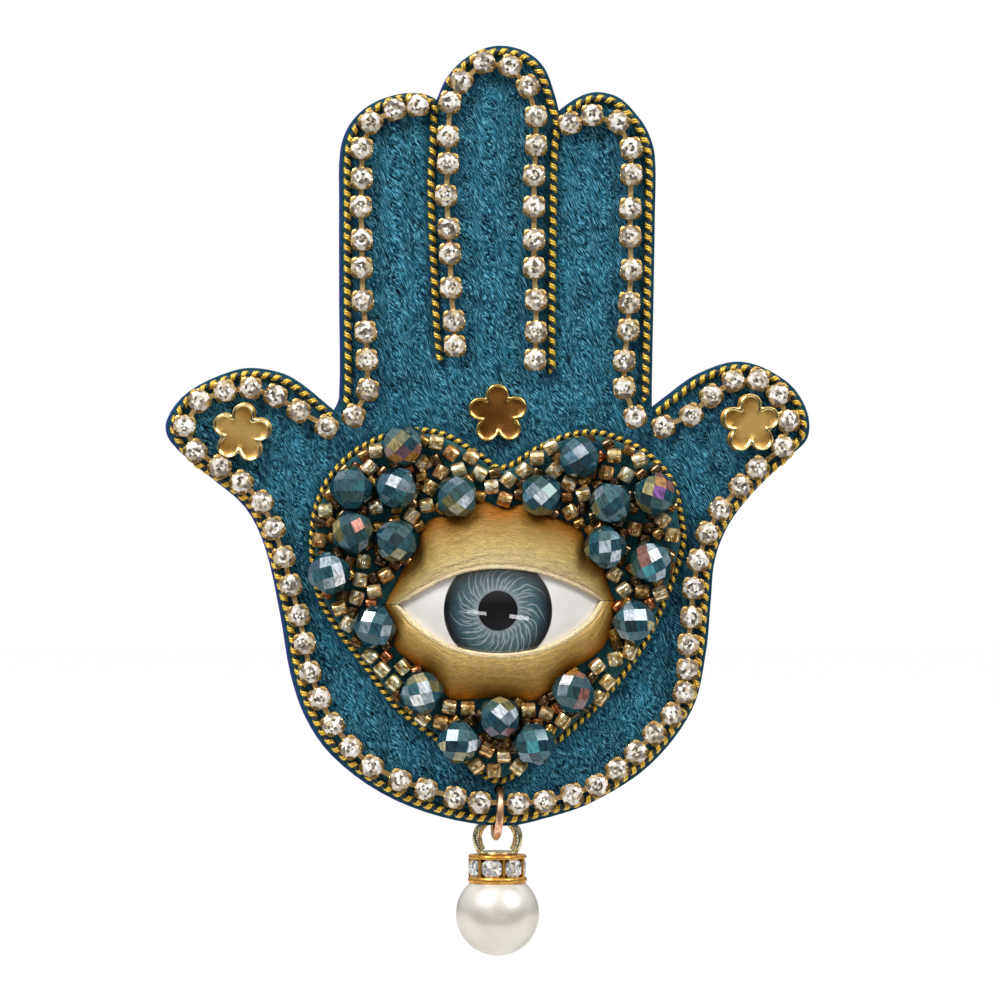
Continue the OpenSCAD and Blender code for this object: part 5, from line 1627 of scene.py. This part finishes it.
@dataclass
class Drop:
    """Jump ring, loop, crystal rondelle and pearl."""

    ring_y: float = -34.9022
    ring_z: float = 3.54272
    ring_d: float = 4.6
    ring_wire: float = 0.74
    ring_lean: float = 4.0
    ring_turn: float = 6.0
    loop_y: float = -37.4006
    loop_z: float = 2.2
    loop_d: float = 3.8
    loop_wire: float = 0.9
    foot_y: float = -38.6185
    rondelle_y: float = -38.9185
    rondelle_h: float = 2.75
    rondelle_d: float = 5.5
    stones: int = 7
    pearl_y: float = -44.5385
    pearl_d: float = 7.84
    shank_d: float = 0.8
    x: float = 0.23422
    plate: tuple[tuple[float, float], ...] = (
        (0.0, 0.0), (1.75, 0.0), (1.87, 0.06), (1.9, 0.14), (1.86, 0.24), (1.7, 0.3), (0.0, 0.3))
    # Painted reflections on the facets of the rondelle's stones, white to dark grey
    tones: tuple[str, ...] = ("#f4f2ef", "#bfc0c4", "#8c8f96", "#5c5f66", "#dcd8d4", "#a4a2a4", "#ffffff", "#d4c4a8")

    def hanging(self, y: float) -> Matrix:
        """Place of a shape drawn round Z, standing on the drop's axis with its top up."""
        return Matrix.Translation((self.x, y, self.loop_z)) @ turned(-math.pi / 2, "X")

    def pearl(self) -> None:
        """Pearl spun from its section, with the drilled hole at its top."""
        r, hole = self.pearl_d / 2, self.shank_d / 2 + 0.05
        section = [(r * math.sin(a), r * math.cos(a)) for a in np.linspace(math.asin(hole / r), math.pi, 60)]
        piece = Piece("pearl_nacre_bead")
        spun(piece, [(0.0, 0.0), (hole, 0.0), *section], 96, self.hanging(self.pearl_y), ends=Ends.OPEN)
        nacre = Glaze("pearl_nacre", "#e9e4db", "#dcd4c9", gloss=0.33, coat=0.2, cloud_mm=4.0, pearl=0.45)
        piece.hang([nacre.dress()], "pearl_nacre", "pearl", 60, Body.DROP)

    def rings(self) -> None:
        """Jump ring through the hand, and the loop that hangs in it; both are open where the wire was cut."""
        copper = Metal("copper_plated_wire", "#ffd2b0", "#dc9e70", gloss=0.34, dent_mm=0.003).dress()
        ring = Piece("jump_ring_wire")
        place = (Matrix.Translation((self.x, self.ring_y, self.ring_z)) @ turned(math.radians(-self.ring_lean))
                 @ turned(math.radians(self.ring_turn), "Y") @ turned(math.pi / 2, "Y") @ turned(math.radians(26)))
        spun(ring, round_section(self.ring_d / 2, self.ring_wire), 96, place, math.radians(356.5))
        ring.hang([copper], "copper_wire", "jump_ring", 50, Body.RING)
        pale = Metal("pale_gold_wire", "#ece6bc", "#c4b884", dent_mm=0.003).dress()
        loop = Piece("drop_loop_wire")
        bottom = math.acos((self.loop_y - self.foot_y) / (self.loop_d / 2))
        place = Matrix.Translation((self.x, self.loop_y, self.loop_z)) @ turned(bottom - math.pi / 2)
        spun(loop, round_section(self.loop_d / 2, self.loop_wire, 20), 72, place, math.tau - 2 * bottom)
        spun(loop, self.plate, 48, self.hanging(self.foot_y - 0.3), ends=Ends.OPEN)
        loop.hang([pale], "pale_gold_wire", "drop_loop", 50, Body.DROP)

    def rondelle(self) -> None:
        """Two rims, seven walls and seven cut stones between them; the lower rim is the thicker one."""
        gold = Metal("polished_gold_plate", "#f0b95c", "#c08436", gloss=0.34, dent_mm=0.004).dress()
        glass = CutGlass("clear_crystal_foiled_painted_facets", gloss=0.05).dress()
        r, h = self.rondelle_d / 2, self.rondelle_h
        core, hole = r - 1.0, self.shank_d / 2 + 0.06
        place = self.hanging(self.rondelle_y - h)
        body, stones = Piece("rondelle_gilt_frame"), Piece("rondelle_cut_stones")
        lower, upper = (rounded(r - inset, middle, reach, rise, points) for inset, middle, reach, rise, points in (
            (0.3, 0.36, 0.34, 0.36, 9), (0.22, h - 0.22, 0.22, 0.22, 7)))
        spun(body, [(hole, 0.0), *lower, (core, 0.72), (core, h - 0.44), *upper, (hole, h)], 84, place)
        low, high = 0.6, h - 0.36
        for k in range(self.stones):
            wall = (place @ turned(math.tau * (k + 0.5) / self.stones)
                    @ Matrix.Translation((r - 0.42, 0, (low + high) / 2))
                    @ Matrix.Diagonal((0.78, 0.26, high - low, 1)))
            bmesh.ops.create_cube(body.bm, size=1, matrix=wall)
        body.hang([gold], "polished_gold", "rondelle_frame", 45, Body.DROP)
        rng = np.random.default_rng(21)
        cut = self.square_stone(high - low + 0.1, 2.15)
        for k in range(self.stones):
            seat = place @ turned(math.tau * k / self.stones) @ Matrix.Translation((r - 0.5, 0, (low + high) / 2))
            # Each facet gets a painted reflection by chance
            for face in stones.add_shape(cut, seat):
                stones.tint([face], any_of(self.tones, rng))
        stones.hang([glass], "clear_crystal", "rondelle_crystals", 1, Body.DROP)

    def square_stone(self, height: float, width: float) -> bpy.types.Mesh:
        """Cut stone that faces along X."""
        corners = []
        for depth, share, shift in ((-0.42, 0.5, 0), (0.1, 1.0, 0), (0.2, 1.0, 0), (0.38, 0.72, 0.5), (0.44, 0.45, 0)):
            for k in range(12):
                y, z = math.cos(math.tau * (k + shift) / 12), math.sin(math.tau * (k + shift) / 12)
                reach = 0.46 * share / max(abs(y), abs(z)) ** 0.6
                corners.append((depth, width * reach * y, height * reach * z))
        bm = hull(corners)
        bmesh.ops.poke(bm, faces=[max(bm.faces, key=lambda f: f.calc_center_median().x)])
        return saved(bm)

    def build(self) -> None:
        """Makes the drop."""
        self.rings()
        self.rondelle()
        self.pearl()


@dataclass
class BroochPin:
    """Bar pin with a turning safety catch on the back."""

    def build(self) -> None:
        """Dresses the pin's solids in plated steel."""
        steel = Metal("plated_pin_steel", "#d6d3cc", "#a9a6a0", gloss=0.22, grain_mm=1.2).dress()
        for node in ("pin_bar", "hinge_rivet", "pin_stem", "safety_catch"):
            redress(node, steel)


@dataclass
class Studio:
    """Camera of the photograph, pale floor, white backdrop and soft lights."""

    lens: float = 250.0
    sensor: float = 36.0
    frame_mm: float = 1000 * MM_PX
    plane_y: float = -0.0045
    middle_px: tuple[float, float] = (500, 500)
    floor_z: float = -0.060

    def camera(self) -> None:
        """Sets the camera square to the hand."""
        x, z = at([self.middle_px])[0] * MM
        far = self.frame_mm * MM * self.lens / self.sensor
        data = bpy.data.cameras.new("camera")
        data.lens, data.sensor_width, data.sensor_fit = self.lens, self.sensor, "AUTO"
        camera = placed("camera", data)
        camera.location = (x, self.plane_y - far, z)
        camera.rotation_euler = (math.pi / 2, 0, 0)
        bpy.context.scene.camera = camera

    def light(self, name: str, place: tuple[float, float, float], size: tuple[float, float], power: float,
              aim: tuple[float, float, float] = (0, -0.004, -0.005), roll: float = 0.0) -> None:
        """Adds one soft lamp that looks at a point.

        Args:
            name: Its name.
            place: Where it hangs.
            size: Its width and height.
            power: Its power, in watts.
            aim: What it looks at.
            roll: How far its right end drops, in degrees.
        """
        data = bpy.data.lights.new(name, "AREA")
        data.shape, data.size, data.size_y, data.energy = "RECTANGLE", size[0], size[1], power
        lamp = placed(name, data)
        lamp.location = place
        look = (Vector(aim) - Vector(place)).to_track_quat("-Z", "Y").to_matrix()
        lamp.rotation_euler = (Matrix.Rotation(math.radians(roll), 3, "Y") @ look).to_euler()

    def floor(self) -> None:
        """Pale floor that keeps the shadow and looks white to the camera."""
        bm = bmesh.new()
        place = Matrix.Translation((0, 0.97, self.floor_z))
        bmesh.ops.create_grid(bm, x_segments=1, y_segments=1, size=1.0, matrix=place)
        floor = placed("floor", saved(bm, "floor"))
        shade = Shade("pale_floor_paper", Base_Color="#f4f3f1", Roughness=0.9)
        white = shade.add("Emission", {"Color": "#ffffff", "Strength": 1.085})
        seen = shade.add("LightPath").outputs["Is Camera Ray"]
        share = shade.add("Math", {0: seen, 1: 0.86}, operation="MULTIPLY")
        out = next(n for n in shade.tree.nodes if n.type == "OUTPUT_MATERIAL")
        shade.put(out, "Surface", shade.add("MixShader", {0: share, 1: shade.shader, 2: white}))
        floor.data.materials.append(shade.material)

    def world(self) -> None:
        """White backdrop with an even fill, darker behind the camera for the metal."""
        world = bpy.data.worlds.new("studio")
        bpy.context.scene.world = world
        world.use_nodes = True
        world.node_tree.nodes.clear()
        sky = Nodes(world.node_tree)
        split = sky.add("SeparateXYZ", {0: sky.add("TexCoord").outputs["Generated"]})
        height = sky.add("MapRange", {"Value": split.outputs["Z"], "From Min": -1.0})
        room = sky.add("ValToRGB", {"Fac": height}, stops=(
            (0.0, "#8c8a86"), (0.4, "#4a4a4c"), (0.52, "#3c3d40"), (0.62, "#a9abae"), (0.8, "#f0f0f0")))
        fill = sky.add("Background", {"Color": "#ffffff", "Strength": 0.42})
        gloss = sky.add("Background", {"Color": room, "Strength": 1.0})
        white = sky.add("Background", {"Color": "#ffffff", "Strength": 1.0})
        path = sky.add("LightPath")
        lit = sky.add("MixShader", {0: path.outputs["Is Glossy Ray"], 1: fill, 2: gloss})
        sky.add("OutputWorld", {"Surface": sky.add("MixShader", {0: path.outputs["Is Camera Ray"], 1: lit, 2: white})})

    def build(self) -> None:
        """Sets up the studio."""
        self.camera()
        self.floor()
        self.world()
        self.light("key", (-0.42, -0.5, 0.62), (0.4, 0.4), 5.9)
        self.light("side", (0.5, -0.42, 0.5), (0.35, 0.35), 3.1)
        self.light("strip_left", (-0.204, -0.775, -0.063), (0.187, 0.03), 0.09, roll=8)
        self.light("strip_right", (0.195, -0.775, -0.109), (0.187, 0.037), 0.12, roll=8)
        bpy.context.scene.view_settings.view_transform = "Standard"


def main() -> None:
    """Builds the brooch and its studio."""
    logging.basicConfig(level=logging.INFO, format="%(name)s %(message)s")
    Studio().build()
    Hand().build()
    CordTrim().build()
    metal = Metal("chain_brass_plate", "#f0cc86", "#bc9450", gloss=0.23).dress()
    bar = Metal("chain_link_plate", "#f0d498", "#c9a668", gloss=0.5).dress()
    glass = CutGlass("foiled_chain_stone_painted_facets", gloss=0.03).dress()
    for seed, (name, px) in enumerate(CHAINS_PX.items()):
        CupChain(name, px, seed).build(metal, bar, glass)
    HeartBase().build()
    for side, px, angle, tilt, *tones in (
            ("left", (243, 432), 82, -9, "#f2c878", "#c49246", "#fae0a0"),
            ("centre", (498, 414), 92, 0, "#8e602e", "#6a421a", "#e8bf6e"),
            ("right", (748, 424), 91, 15, "#dcb468", "#ad803c", "#f6da96")):
        FlowerBead(side + "_flower_bead", px, angle, tilt, FlowerGold(side + "_flower_gold", *tones)).build()
    Eye().build()
    SeedBeads().build()
    CrystalBeads().build()
    Drop().build()
    BroochPin().build()


if __name__ == "__main__":
    main()
